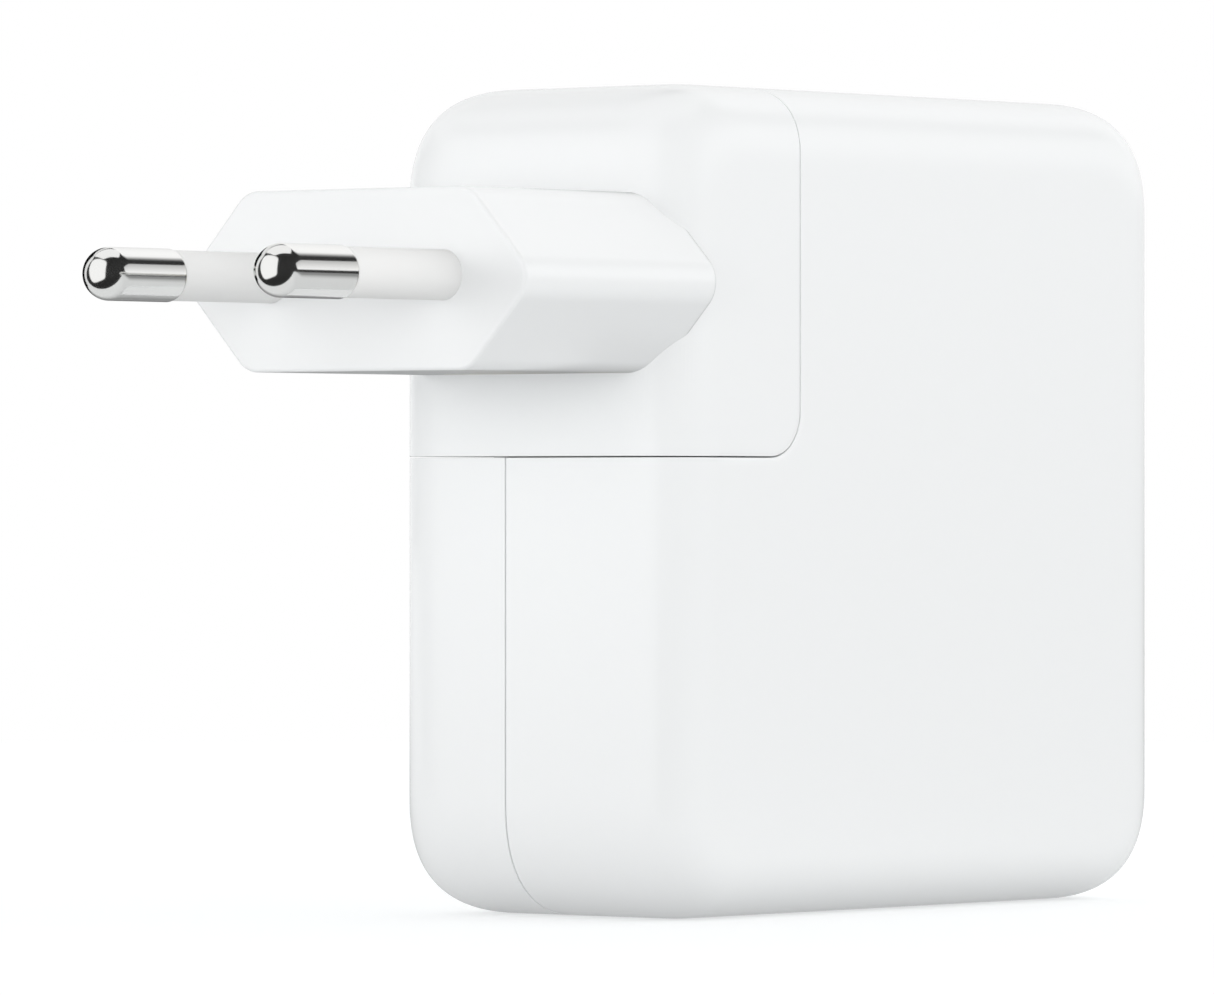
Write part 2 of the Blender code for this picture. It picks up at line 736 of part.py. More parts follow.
def contact_strap(name, side):
    """A bent strip: a step across behind the pin's end, then a tab over the contact tube."""
    near = strap_x()
    base = HEAD_FLOOR + CLEARANCE + NOSE_FLANGE_THICKNESS + 2 * CLEARANCE
    inner = CONTACT_SPACING / 2 - STRAP_WIDTH / 2
    riser = STRAP_OUTER - STRAP_WIDTH
    shoulder = base + STRAP_WIDTH
    top = PIN_Z + STRAP_WIDTH / 2
    outline = [(inner, base), (STRAP_OUTER, base), (STRAP_OUTER, top), (riser, top)]
    outline += [(riser, shoulder), (inner, shoulder)]
    outline = [(side * y, z) for y, z in outline]
    strap = prism(name, outline, "X", near, near + STRAP_THICKNESS, contact_metal())
    ends = sorted((side * inner, side * (inner + STRAP_WIDTH)))
    tab_low = (near + STRAP_THICKNESS / 2, ends[0], base)
    tab = block(name + "_tab", tab_low, (INLET_X + TUBE_OUTER, ends[1], base + STRAP_THICKNESS))
    join(strap, tab)
    return strap


def contact_tube(name, side):
    """The spring tube that grips an inlet pin, inside one lobe of the nose."""
    start, end = NOSE_TIP + CLEARANCE, HEAD_FLOOR + CLEARANCE + NOSE_FLANGE_THICKNESS + CLEARANCE
    profile = [(TUBE_INNER, start), (TUBE_OUTER, start), (TUBE_OUTER, end), (TUBE_INNER, end)]
    tube = turned(name, profile, contact_metal(), hollow=True)
    return place(tube, (INLET_X, side * CONTACT_SPACING / 2, 0.0))


def plug_head():
    """Every piece that lifts off together, hung on an empty at the slide's axis."""
    slide = bpy.data.objects.new("plug_head_slide", None)
    bpy.context.scene.collection.objects.link(slide)
    slide.location = (INLET_X, 0.0, NOTCH_Z)
    slot, head_way = slot_cutters()
    pieces = [plug_head_shell(slot, head_way), plug_head_cover(slot), plug_connector()]
    for where, side in SIDES:
        pieces.append(plug_pin(f"plug_pin_{where}", side))
        pieces.append(pin_sleeve(f"pin_sleeve_{where}", side))
        pieces.append(contact_strap(f"contact_strap_{where}", side))
        pieces.append(contact_tube(f"contact_tube_{where}", side))
    for piece in pieces:
        piece.parent = slide
        piece.matrix_parent_inverse = Matrix.Translation(-slide.location)


# ---------------------------------------------------------------------------------------------------
# Inlet and retaining stud
# ---------------------------------------------------------------------------------------------------


def inlet_block():
    """The socket under the notch's shelf: a block with a two-lobed well that takes the nose."""
    outline = rounded_rectangle(INLET_HALF_X, INLET_HALF_Y, INLET_CORNER, (INLET_X, 0.0), steps=3)
    inlet = prism("inlet_block", outline, "Z", INLET_BOTTOM, INLET_TOP, black_plastic())
    cut(inlet, nose_prism("inlet_well", CLEARANCE, RECESS_FLOOR, INLET_TOP + WALL))
    for where, side in SIDES:
        profile = [(INLET_PIN_DIAMETER / 2 + CLEARANCE, z) for z in (-WALL, INLET_BASE + WALL)]
        hole = turned(f"inlet_pin_hole_{where}", profile)
        cut(inlet, place(hole, (INLET_X, side * CONTACT_SPACING / 2, INLET_BOTTOM)))
    return inlet


def inlet_pin(name, side):
    """A round-nosed pin that stands in the well, with a tail below the block for its lead."""
    radius = INLET_PIN_DIAMETER / 2
    bottom, top = INLET_BOTTOM - INLET_TAIL, SHELF_TOP - INLET_PIN_SETBACK
    profile = [(radius, bottom)] + round_nose(radius, top)
    pin = turned(name, profile, pin_metal(), steps=SMALL_TURN_STEPS)
    return place(pin, (INLET_X, side * CONTACT_SPACING / 2, 0.0))


def retaining_stud():
    """A mushroom stud through the notch wall, riveted over a plate on the inside."""
    neck, head = STUD_NECK_DIAMETER / 2, STUD_HEAD_DIAMETER / 2
    head_back = HEAD_RIGHT - PLUG_HEAD_COVER - CLEARANCE
    face = head_back - STUD_HEAD_THICKNESS
    plate_end = WALL_RIGHT + 2 * CLEARANCE + STUD_PLATE_THICKNESS
    rivet = STUD_RIVET_DIAMETER / 2
    chamfer = STUD_HEAD_THICKNESS / 3
    profile = [(head - chamfer, face), (head, face + chamfer), (head, head_back), (neck, head_back)]
    profile += [(neck, plate_end), (rivet, plate_end), (rivet, RIVET_END)]
    stud = turned("retaining_stud", profile, steel())
    return place(stud, (0.0, STUD_Y, STUD_Z), (1, 0, 0))


def stud_plate():
    """The square plate behind the notch wall, bored for the stud's neck."""
    half = STUD_PLATE_SIZE / 2
    start = WALL_RIGHT + CLEARANCE
    outline = rounded_rectangle(half, half, half / 3, (STUD_Y, STUD_Z))
    plate = prism("stud_plate", outline, "X", start, start + STUD_PLATE_THICKNESS, steel())
    radius = STUD_NECK_DIAMETER / 2 + CLEARANCE
    bore = turned("stud_plate_bore", [(radius, -WALL), (radius, WALL)])
    cut(plate, place(bore, (start, STUD_Y, STUD_Z), (1, 0, 0)))
    return plate


# ---------------------------------------------------------------------------------------------------
# Output socket
# ---------------------------------------------------------------------------------------------------


def output_socket():
    """The drawn steel shell, its plastic tongue and block, and the small board behind them."""
    mouth = RIGHT - PORT_SETBACK
    back = mouth - PORT_LENGTH
    outer, inner = port_outline(PORT_SHELL_WALL), port_outline(0.0)
    frame_tube("socket_shell", outer, inner, "X", back, mouth, steel())
    fit = port_outline(-CLEARANCE)
    tongue = prism("socket_tongue", fit, "X", back, back + PORT_BLOCK_LENGTH, black_plastic())
    half_y, half_z = TONGUE_THICKNESS / 2, TONGUE_WIDTH / 2
    low = (back + PORT_BLOCK_LENGTH / 2, PORT_Y - half_y, PORT_Z - half_z)
    high = (back + PORT_BLOCK_LENGTH + TONGUE_LENGTH, PORT_Y + half_y, PORT_Z + half_z)
    join(tongue, block("tongue_blade", low, high))
    right = RIGHT - WALL - CLEARANCE
    half = PORT_BOARD_WIDTH / 2
    low = (right - PORT_BOARD_LENGTH, PORT_BOARD_FRONT, PORT_Z - half)
    high = (right, PORT_BOARD_FRONT + PORT_BOARD_THICKNESS, PORT_Z + half)
    block("socket_board", low, high, board_green())
    start = PORT_BOARD_FRONT + PORT_BOARD_THICKNESS + CLEARANCE
    half = HEADER_WIDTH / 2
    for name, x in (("header_inner", low[0]), ("header_outer", high[0] - HEADER_THICKNESS)):
        end = (x + HEADER_THICKNESS, SEAT, PORT_Z + half)
        block(name, (x, start, PORT_Z - half), end, black_plastic())


# ---------------------------------------------------------------------------------------------------
# Boards, sheets and heat spreaders
# ---------------------------------------------------------------------------------------------------


def housing_plate(name, front, back, finish):
    """A flat L-shaped plate that fits inside the housing at this depth."""
    rounding = inner_rounding(max(abs(front), abs(back)))
    inset = WALL + CLEARANCE
    return loft(name, [housing_ring(y, inset, rounding) for y in (front, back)], finish)


def main_board():
    """The circuit board that carries the components, cut away round the inlet."""
    board = housing_plate("main_board", BOARD_FRONT, BOARD_BACK, board_green())
    low = (LEFT, BOARD_FRONT - WALL, INLET_BOTTOM - CLEARANCE)
    high = (INLET_X + INLET_HALF_X + CLEARANCE, BOARD_BACK + WALL, SHELF_TOP)
    cut(board, block("board_cutter", low, high))
    return board


def sheets_and_spreaders():
    """The two heat spreaders against the broad walls, each with an insulating sheet over it."""
    front = -INNER_DEPTH + CLEARANCE
    housing_plate("heat_spreader_front", front, front + SPREADER_THICKNESS, aluminium())
    housing_plate("insulating_sheet_front", FRONT_SHEET, FRONT_SHEET + SHEET_THICKNESS, amber_sheet())
    margin = POST_DIAMETER / 2 + PART_SPACING
    left = post_places()[3][0] + margin
    right = post_places()[0][0] - margin
    bottom, top = POST_INSET - POST_DIAMETER / 2, BODY_HEIGHT - POST_INSET + POST_DIAMETER / 2
    sheets = (
        ("heat_spreader_back", SPREADER_BACK, SPREADER_THICKNESS, aluminium()),
        ("insulating_sheet_back", SHEET_BACK, SHEET_THICKNESS, amber_sheet()),
    )
    for name, back, thickness, finish in sheets:
        block(name, (left, back - thickness, bottom), (right, back, top), finish)


# ---------------------------------------------------------------------------------------------------
# Components on the main board. Each stands on SEAT and reaches towards -Y.
# ---------------------------------------------------------------------------------------------------


def standing_can(name, x, z, diameter, height):
    """A capacitor can on the board, with a crimped groove near its foot and a softened top rim."""
    radius, crimp = diameter / 2, CAPACITOR_CRIMP
    profile = [(radius, 0.0), (radius, 2 * crimp), (radius - crimp, 3 * crimp), (radius, 4 * crimp)]
    profile += [(radius, height - crimp), (radius - crimp, height)]
    return place(turned(name, profile, can_sleeve()), (x, SEAT, z), (0, -1, 0))


def component(name, size, x, z, finish):
    """A box-shaped component standing on the board."""
    outline = rounded_rectangle(size[0] / 2, size[2] / 2, COMPONENT_CORNER, (x, z), steps=2)
    return prism(name, outline, "Y", SEAT - size[1], SEAT, finish)


def capacitors():
    radius = BULK_CAPACITOR_DIAMETER / 2
    edge = WALL + PART_SPACING + radius
    for number in range(BULK_CAPACITORS):
        x = RIGHT - edge - number * (BULK_CAPACITOR_DIAMETER + PART_SPACING / 2)
        name = f"bulk_capacitor_{number + 1}"
        standing_can(name, x, edge, BULK_CAPACITOR_DIAMETER, BULK_CAPACITOR_HEIGHT)
    radius = OUTPUT_CAPACITOR_DIAMETER / 2
    edge = WALL + PART_SPACING + radius
    for number in range(OUTPUT_CAPACITORS):
        z = BODY_HEIGHT - edge - number * (OUTPUT_CAPACITOR_DIAMETER + PART_SPACING / 2)
        name = f"output_capacitor_{number + 1}"
        standing_can(name, RIGHT - edge, z, OUTPUT_CAPACITOR_DIAMETER, OUTPUT_CAPACITOR_HEIGHT)


def sector_sleeve(name, outer, inner, middle, axis_x, axis_z, axis_y, finish):
    """A sleeve bent round an axis along Y: an eight-cornered frame with a four-cornered bore.

    outer and inner hold (radius, height) corners, two outer ones to each inner one.
    """
    shape = bmesh.new()
    rows = []
    for step in range(SECTOR_STEPS + 1):
        angle = middle + CHOKE_SECTOR_ANGLE * (step / SECTOR_STEPS - 0.5)
        row = []
        for radius, height in outer + inner:
            x, z = axis_x + radius * math.cos(angle), axis_z + radius * math.sin(angle)
            row.append(shape.verts.new((x, axis_y + height, z)))
        rows.append((row[: len(outer)], row[len(outer) :]))
    for lower, upper in zip(rows, rows[1:]):
        for one, other in zip(lower, upper):
            for i in range(len(one)):
                shape.faces.new((one[i - 1], one[i], other[i], other[i - 1]))
    for rim, bore in (rows[0], rows[-1]):
        for i in range(len(bore)):
            shape.faces.new((rim[2 * i], rim[2 * i + 1], bore[i]))
            shape.faces.new((rim[2 * i - 1], rim[2 * i], bore[i], bore[i - 1]))
    bmesh.ops.recalc_face_normals(shape, faces=shape.faces)
    mesh = bpy.data.meshes.new(name)
    shape.to_mesh(mesh)
    shape.free()
    return add_object(name, mesh, finish)


def common_mode_choke():
    """A ring core lying flat over the board, inside two windings that rest on it."""
    wire = CHOKE_WIRE_BUILD
    bore_low, bore_high = CHOKE_CORE_INNER / 2 - CLEARANCE, CHOKE_CORE_OUTER / 2 + CLEARANCE
    bore_half = CHOKE_CORE_HEIGHT / 2 + CLEARANCE
    half = bore_half + wire
    reach = bore_high + wire
    x, z = LEFT + WALL + PART_SPACING + reach, WALL + PART_SPACING + reach
    y = SEAT - half
    core_half_height, ring = CHOKE_CORE_HEIGHT / 2, (CHOKE_CORE_INNER / 2, CHOKE_CORE_OUTER / 2)
    profile = [(ring[0], -core_half_height), (ring[1], -core_half_height)]
    profile += [(ring[1], core_half_height), (ring[0], core_half_height)]
    place(turned("choke_core", profile, ferrite(), hollow=True), (x, y, z), (0, -1, 0))
    low, high, bevel = bore_low - wire, reach, wire / 2
    outer = [(low, bevel - half), (low + bevel, -half), (high - bevel, -half), (high, bevel - half)]
    outer += [(radius, -height) for radius, height in reversed(outer)]
    inner = [(bore_low, -bore_half), (bore_high, -bore_half)]
    inner += [(radius, -height) for radius, height in reversed(inner)]
    for name, middle in (("choke_winding_left", math.pi), ("choke_winding_right", 0.0)):
        sector_sleeve(name, outer, inner, middle, x, z, y, copper())


def lens_profile(radius, half, edge):
    """A disc or tube along its axis, with both rims drawn in by edge."""
    return [(radius - edge, -half), (radius, edge - half), (radius, half - edge), (radius - edge, half)]


def fuse(x, z):
    radius = FUSE_DIAMETER / 2
    profile = lens_profile(radius, FUSE_LENGTH / 2, radius / 5)
    tube = turned("fuse", profile, inner_white(), steps=SMALL_TURN_STEPS)
    return place(tube, (x, SEAT - radius, z), (1, 0, 0))


def suppressor(x, z):
    radius, half = Y_CAPACITOR_DIAMETER / 2, Y_CAPACITOR_THICKNESS / 2
    disc = turned("y_capacitor", lens_profile(radius, half, half / 2), blue_ceramic())
    return place(disc, (x, SEAT - radius, z))


def row_above_capacitors():
    """The filter capacitor, rectifier, fuse, switch, heat sink and suppressor in the middle."""
    row = WALL + PART_SPACING + BULK_CAPACITOR_DIAMETER + PART_SPACING
    centre = WALL_RIGHT + X_CAPACITOR_SIZE[0] / 2
    component("x_capacitor", X_CAPACITOR_SIZE, centre, row + X_CAPACITOR_SIZE[2] / 2, yellow_case())
    right = centre + X_CAPACITOR_SIZE[0] / 2 + PART_SPACING + RECTIFIER_SIZE[0] / 2
    component("bridge_rectifier", RECTIFIER_SIZE, right, row + RECTIFIER_SIZE[2] / 2, black_plastic())
    row += X_CAPACITOR_SIZE[2] + PART_SPACING
    fuse(WALL_RIGHT + FUSE_LENGTH / 2, row + FUSE_DIAMETER / 2)
    x = WALL_RIGHT + FUSE_LENGTH + PART_SPACING + Y_CAPACITOR_DIAMETER / 2
    suppressor(x, row + Y_CAPACITOR_THICKNESS / 2)
    row += FUSE_DIAMETER + PART_SPACING
    centre = WALL_RIGHT + PART_SPACING + HEAT_SINK_SIZE[0] / 2
    component("switch_heat_sink", HEAT_SINK_SIZE, centre, row + HEAT_SINK_SIZE[2] / 2, aluminium())
    z = row + HEAT_SINK_SIZE[2] + CLEARANCE + SWITCH_SIZE[2] / 2
    component("power_switch", SWITCH_SIZE, centre, z, black_plastic())


def core_half(name, x, z, facing):
    """An E-shaped ferrite half: a yoke, two outer legs and a thick middle leg."""
    half_width, half_leg = TRANSFORMER_WIDTH / 2, TRANSFORMER_LEG / 2
    outer_leg = half_width - TRANSFORMER_LEG / 2
    tip, root = CLEARANCE / 2, TRANSFORMER_LENGTH / 2
    yoke = root - TRANSFORMER_YOKE
    side = [(half_width, root), (half_width, tip), (outer_leg, tip)]
    side += [(outer_leg, yoke), (half_leg, yoke), (half_leg, tip)]
    outline = side + [(-a, b) for a, b in reversed(side)]
    outline = [(x + a, z + facing * b) for a, b in outline]
    middle = SEAT - BOBBIN_HEIGHT / 2
    half = TRANSFORMER_CORE_DEPTH / 2
    return prism(name, outline, "Y", middle - half, middle + half, ferrite())


def transformer():
    """Two core halves round a flanged bobbin that carries the winding, upright in the housing."""
    x = RIVET_END + PART_SPACING + TRANSFORMER_WIDTH / 2
    z = BODY_HEIGHT - WALL - PART_SPACING - TRANSFORMER_LENGTH / 2
    middle = SEAT - BOBBIN_HEIGHT / 2
    core_half("transformer_core_upper", x, z, 1)
    core_half("transformer_core_lower", x, z, -1)
    bore_x = TRANSFORMER_LEG / 2 + CLEARANCE
    bore_y = TRANSFORMER_CORE_DEPTH / 2 + CLEARANCE
    half_length = TRANSFORMER_LENGTH / 2 - TRANSFORMER_YOKE - CLEARANCE
    tube_x, tube_y = bore_x + BOBBIN_WALL, bore_y + BOBBIN_WALL
    flange_x = tube_x + CLEARANCE + WINDING_BUILD
    flange_y = BOBBIN_HEIGHT / 2
    places = [
        (bore_x, bore_y, -half_length), (flange_x, flange_y, -half_length),
        (flange_x, flange_y, BOBBIN_WALL - half_length), (tube_x, tube_y, BOBBIN_WALL - half_length),
        (tube_x, tube_y, half_length - BOBBIN_WALL), (flange_x, flange_y, half_length - BOBBIN_WALL),
        (flange_x, flange_y, half_length), (bore_x, bore_y, half_length),
    ]
    rings = []
    for half_x, half_y, at in places:
        rings.append([in_space("Z", z + at, a, b) for a, b in rectangle(half_x, half_y, (x, middle))])
    loft("transformer_bobbin", rings, black_plastic(), ring_closed=True)
    bore = (tube_x + CLEARANCE, tube_y + CLEARANCE)
    inner = rounded_rectangle(*bore, WINDING_BUILD / 4, (x, middle), steps=3)
    outer = rounded_rectangle(flange_x, flange_y - CLEARANCE, WINDING_BUILD, (x, middle), steps=3)
    reach = half_length - BOBBIN_WALL - CLEARANCE
    frame_tube("transformer_winding", outer, inner, "Z", z - reach, z + reach, copper())


def main():
    clear_scene()
    front_shell()
    back_shell()
    plug_head()
    inlet_block()
    for where, side in SIDES:
        inlet_pin(f"inlet_pin_{where}", side)
    retaining_stud()
    stud_plate()
    output_socket()
    main_board()
    sheets_and_spreaders()
    capacitors()
    common_mode_choke()
    row_above_capacitors()
    transformer()


main()
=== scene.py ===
"""Visible surfaces, finishes and studio stage of a mains power adapter for a laptop.

The file is laid out as a Blender add-on and run as a script. Units are metres and +Z is up. The adapter
stands on its narrow bottom face; the mains pins point towards -X and the broad front face looks
towards -Y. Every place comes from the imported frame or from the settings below.
"""

import json
import math

import bmesh
import bpy
import numpy as np
from bpy.props import FloatProperty, FloatVectorProperty, IntProperty, PointerProperty
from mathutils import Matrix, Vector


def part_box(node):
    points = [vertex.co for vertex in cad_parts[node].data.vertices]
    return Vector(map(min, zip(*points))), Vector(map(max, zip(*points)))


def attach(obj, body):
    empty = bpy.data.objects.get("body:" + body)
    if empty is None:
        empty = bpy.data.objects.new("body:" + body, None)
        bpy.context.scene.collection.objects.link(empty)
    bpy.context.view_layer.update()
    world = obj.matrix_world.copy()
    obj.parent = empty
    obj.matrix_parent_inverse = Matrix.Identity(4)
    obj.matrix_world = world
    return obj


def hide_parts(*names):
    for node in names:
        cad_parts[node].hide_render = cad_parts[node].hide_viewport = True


bl_info = {
    "name": "Laptop Power Adapter",
    "version": (1, 0, 0),
    "blender": (4, 5, 0),
    "location": "View3D > Sidebar > Adapter",
    "description": "Makes the visible surfaces, finishes and stage of a mains power adapter",
    "category": "Add Mesh",
}

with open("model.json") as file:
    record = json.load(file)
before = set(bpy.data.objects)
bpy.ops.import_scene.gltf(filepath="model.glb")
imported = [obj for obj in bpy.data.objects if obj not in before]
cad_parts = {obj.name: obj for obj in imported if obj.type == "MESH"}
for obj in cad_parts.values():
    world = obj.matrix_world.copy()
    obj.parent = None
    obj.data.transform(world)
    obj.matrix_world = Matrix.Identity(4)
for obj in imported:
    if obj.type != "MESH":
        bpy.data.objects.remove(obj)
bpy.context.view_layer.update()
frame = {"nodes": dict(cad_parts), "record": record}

# ---------------------------------------------------------------------------------------------------
# Places from the frame
# ---------------------------------------------------------------------------------------------------

CAD_GAP = 0.0003
SIDES = (("front", -1), ("back", 1))

FRONT_LOW, FRONT_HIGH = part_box("front_shell")
BACK_LOW, BACK_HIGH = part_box("back_shell")
HEAD_LOW, HEAD_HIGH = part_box("plug_head_shell")
COVER_LOW, COVER_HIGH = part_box("plug_head_cover")
NOSE_LOW, NOSE_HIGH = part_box("plug_connector")
STUD_LOW, STUD_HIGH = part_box("retaining_stud")
SOCKET_LOW, SOCKET_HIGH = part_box("socket_shell")
TONGUE_LOW, TONGUE_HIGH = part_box("socket_tongue")

LEFT, RIGHT, TOP = FRONT_LOW.x, FRONT_HIGH.x, FRONT_HIGH.z
HALF_DEPTH = BACK_HIGH.y
SEAM_Y = BACK_LOW.y - CAD_GAP / 2
NOTCH_X = HEAD_HIGH.x + CAD_GAP / 2
NOTCH_Z = HEAD_LOW.z - CAD_GAP / 2
HEAD_FLOOR = COVER_LOW.z - CAD_GAP
COVER_BACK = COVER_LOW.x
BOSS_FACE = HEAD_LOW.x
PIN_Z = (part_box("plug_pin_front")[0].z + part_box("plug_pin_front")[1].z) / 2
NOSE_X = (NOSE_LOW.x + NOSE_HIGH.x) / 2
STUD_Y, STUD_Z = (STUD_LOW.y + STUD_HIGH.y) / 2, (STUD_LOW.z + STUD_HIGH.z) / 2
STUD_HEAD = (STUD_HIGH.z - STUD_LOW.z) / 2
SOCKET_Y, SOCKET_Z = (SOCKET_LOW.y + SOCKET_HIGH.y) / 2, (SOCKET_LOW.z + SOCKET_HIGH.z) / 2

SLOT_OF_NODE = {part["node"]: part["material_slot"] for part in frame["record"]["subparts"]}
SLOT_COLOUR = {slot["slot"]: tuple(slot["base_color"]) for slot in frame["record"]["materials"]}

# Fineness of the surfaces
CORNER_STEPS = 32
EDGE_STEPS = 24
BREAK_STEPS = 5
FILLET_STEPS = 16
TURN_STEPS = 96
GUARD = 0.00015
FLAT_GUARD = 0.0004
CLOSE_FIT = 0.00001
CUT_PAST = 0.001
SHARP_ANGLE = math.radians(32)

EAST, NORTH, WEST, SOUTH = (np.array(way, float) for way in ((1, 0), (0, 1), (-1, 0), (0, -1)))

# ---------------------------------------------------------------------------------------------------
# Settings
# ---------------------------------------------------------------------------------------------------


def length(name, description, default):
    """A size in metres."""
    return FloatProperty(
        name=name, description=description, default=default, min=0.0, precision=5, unit="LENGTH"
    )


def plain(name, description, default):
    """A bare number."""
    return FloatProperty(name=name, description=description, default=default, precision=3)


def angle(name, description, default):
    return FloatProperty(name=name, description=description, default=default, subtype="ANGLE")


def colour(name, description, default):
    return FloatVectorProperty(
        name=name, description=description, default=default, size=3, min=0.0, max=1.0, subtype="COLOR"
    )


class HousingSizes(bpy.types.PropertyGroup):
    """Sizes of the two halves of the housing, shared by the plug head where they meet."""

    corner_radius: length("Corner radius", "Radius of the corners seen from the front", 0.0092)
    corner_fullness: plain("Corner fullness", "2 is a circle, more is a fuller shoulder", 2.46)
    edge_depth: length("Edge depth", "Reach of the rounded edge along the depth", 0.0070)
    edge_inset: length("Edge inset", "Reach of the rounded edge across the broad face", 0.0058)
    edge_fullness: plain("Edge fullness", "2 is an ellipse, more is a fuller edge", 2.6)
    edge_break: length("Edge break", "Small radius along every seam", 0.00008)
    wall: length("Wall", "Thickness of the mouldings", 0.0022)
    seam: length("Seam", "Open gap that shows between two mouldings", 0.00010)
    lip_inset: length("Lip inset", "How far the front half's lip stands inside its rim", 0.0012)
    lip_length: length("Lip length", "How far the lip reaches past the seam", 0.0012)
    notch_fillet: length("Notch fillet", "Radius in the corner of the plug head's notch", 0.0035)
    post_diameter: length("Post diameter", "Posts inside the back half", 0.0036)
    post_inset: length("Post inset", "Distance of a post's axis from the sides", 0.0078)


class PlugHeadSizes(bpy.types.PropertyGroup):
    """Sizes of the six-sided boss, the mains pins and the connector under the plug head."""

    boss_width: length("Boss width", "Across the pointed tips, as if they were sharp", 0.0351)
    boss_flat: length("Boss flat", "Width of the two level sides", 0.0222)
    boss_height: length("Boss height", "Between the two level sides", 0.0137)
    boss_below_top: length("Boss below top", "From the housing's top to the boss's middle", 0.0154)
    boss_corner: length("Boss corner", "Radius of the six long edges", 0.0025)
    boss_front_round: length("Front round", "Radius round the boss's front face", 0.0003)
    boss_root: length("Boss root", "How far the boss reaches into the plug head", 0.0034)
    boss_rear_round: length("Rear round", "Radius behind the boss's tips", 0.0009)
    pin_spacing: length("Pin spacing", "Between the pins' axes at the boss", 0.0171)
    pin_length: length("Pin length", "From the boss to the tip", 0.0200)
    pin_bare: length("Bare length", "Metal that shows past the sleeve", 0.0084)
    pin_diameter: length("Pin diameter", "Bare metal", 0.0040)
    pin_neck: length("Neck diameter", "Pin inside its sleeve", 0.0024)
    pin_lean: angle("Pin lean", "How far each pin leans towards the other", 0.0044)
    sleeve_diameter: length("Sleeve diameter", "Insulating sleeve", 0.0038)
    sleeve_depth: length("Sleeve depth", "How far a sleeve reaches into the boss", 0.0020)
    nose_width: length("Nose width", "Connector under the plug head", 0.0140)
    nose_thickness: length("Nose thickness", "Connector under the plug head", 0.0073)
    nose_waist: length("Nose waist", "Depth of the dip between the two lobes", 0.0006)
    contact_spacing: length("Contact spacing", "Between the two small contacts", 0.0086)
    contact_bore: length("Contact bore", "Diameter of the holes in the nose", 0.0042)
    inlet_pin: length("Inlet pin", "Diameter of the pins in the housing's inlet", 0.0024)
    stud_neck: length("Stud neck", "Neck of the stud that guides the plug head", 0.0030)


class SocketSizes(bpy.types.PropertyGroup):
    """Sizes of the output socket."""

    shell_wall: length("Shell wall", "Thickness of the drawn shell", 0.0003)
    mouth_round: length("Mouth round", "Radius round the hole in the housing", 0.0004)
    tongue_width: length("Tongue width", "Across the tongue", 0.0067)
    tongue_thickness: length("Tongue thickness", "Through the tongue", 0.0007)
    contacts: IntProperty(name="Contacts", description="Gold strips a side", default=8, min=1)
    contact_width: length("Contact width", "Width of one gold strip", 0.0003)


class FinishColours(bpy.types.PropertyGroup):
    """Colours of the finishes that show."""

    housing: colour("Housing", "Gloss of the housing", (0.904, 0.900, 0.899))
    plug: colour("Plug head", "Gloss of the plug head", (0.904, 0.900, 0.899))
    sleeve: colour("Sleeves", "Satin of the sleeves", (0.925, 0.925, 0.920))
    nickel: colour("Nickel", "Plated pins", SLOT_COLOUR["nickel_plate"])
    steel: colour("Steel", "Stud and socket shell", SLOT_COLOUR["stainless_steel"])
    brass: colour("Brass", "Contacts", SLOT_COLOUR["contact_brass"])


class StageSettings(bpy.types.PropertyGroup):
    """Floor, light and camera."""

    camera_place: FloatVectorProperty(
        name="Camera", description="Place of the camera", default=(-0.5794, -0.4601, 0.0323),
        size=3, subtype="TRANSLATION",
    )
    camera_turn: angle("Camera turn", "Compass turn of the view from +Y towards +X", 0.8807)
    lens: FloatProperty(name="Lens", description="Focal length in mm", default=277.17, min=1.0)
    floor_radius: length("Floor radius", "Half the width of the round floor", 0.50)
    floor_colour: colour("Floor", "Paint of the floor", (0.625, 0.640, 0.645))
    mirror_edge: length("Mirror edge", "How far mirrors see the floor on the camera's side", 0.090)
    floor_glow: plain("Floor glow", "White that only the camera and mirrors see", 0.45)
    floor_fill: plain("Floor fill", "Even light that the floor gives from below", 0.36)
    sky: plain("Sky", "Light from the horizon", 1.98)
    zenith: plain("Zenith", "Light added straight above", -1.34)
    high_left: plain("High left", "Light taken away high on the pins' side", 1.35)
    low_left: plain("Low left", "Light added near the horizon on the pins' side", 1.55)
    below: plain("Below", "Light from under the horizon, past the floor's edge", 0.62)
    key: plain("Key", "Light added from the pins' side", -0.10)
    panel: plain("Panels", "Brightness of the soft boxes in reflections", 1.0)


SETTINGS = {
    "adapter_housing": HousingSizes,
    "adapter_head": PlugHeadSizes,
    "adapter_socket": SocketSizes,
    "adapter_finish": FinishColours,
    "adapter_stage": StageSettings,
}


def housing_sizes():
    return bpy.context.scene.adapter_housing


def head_sizes():
    return bpy.context.scene.adapter_head


def socket_sizes():
    return bpy.context.scene.adapter_socket


# ---------------------------------------------------------------------------------------------------
# Meshes from arrays
# ---------------------------------------------------------------------------------------------------


def flat_list(*values):
    """The values as one float array each, stretched to one shared length."""
    return np.broadcast_arrays(*[np.atleast_1d(np.asarray(value, float)) for value in values])


def volume_of(points, faces):
    """Signed volume: each face is fanned from its first corner, and the fans' boxes are summed."""
    total = 0.0
    for corners in faces:
        ring = points[corners]
        fan = np.cross(ring[1:-1], ring[2:])
        total += float((fan @ ring[0]).sum())
    return total


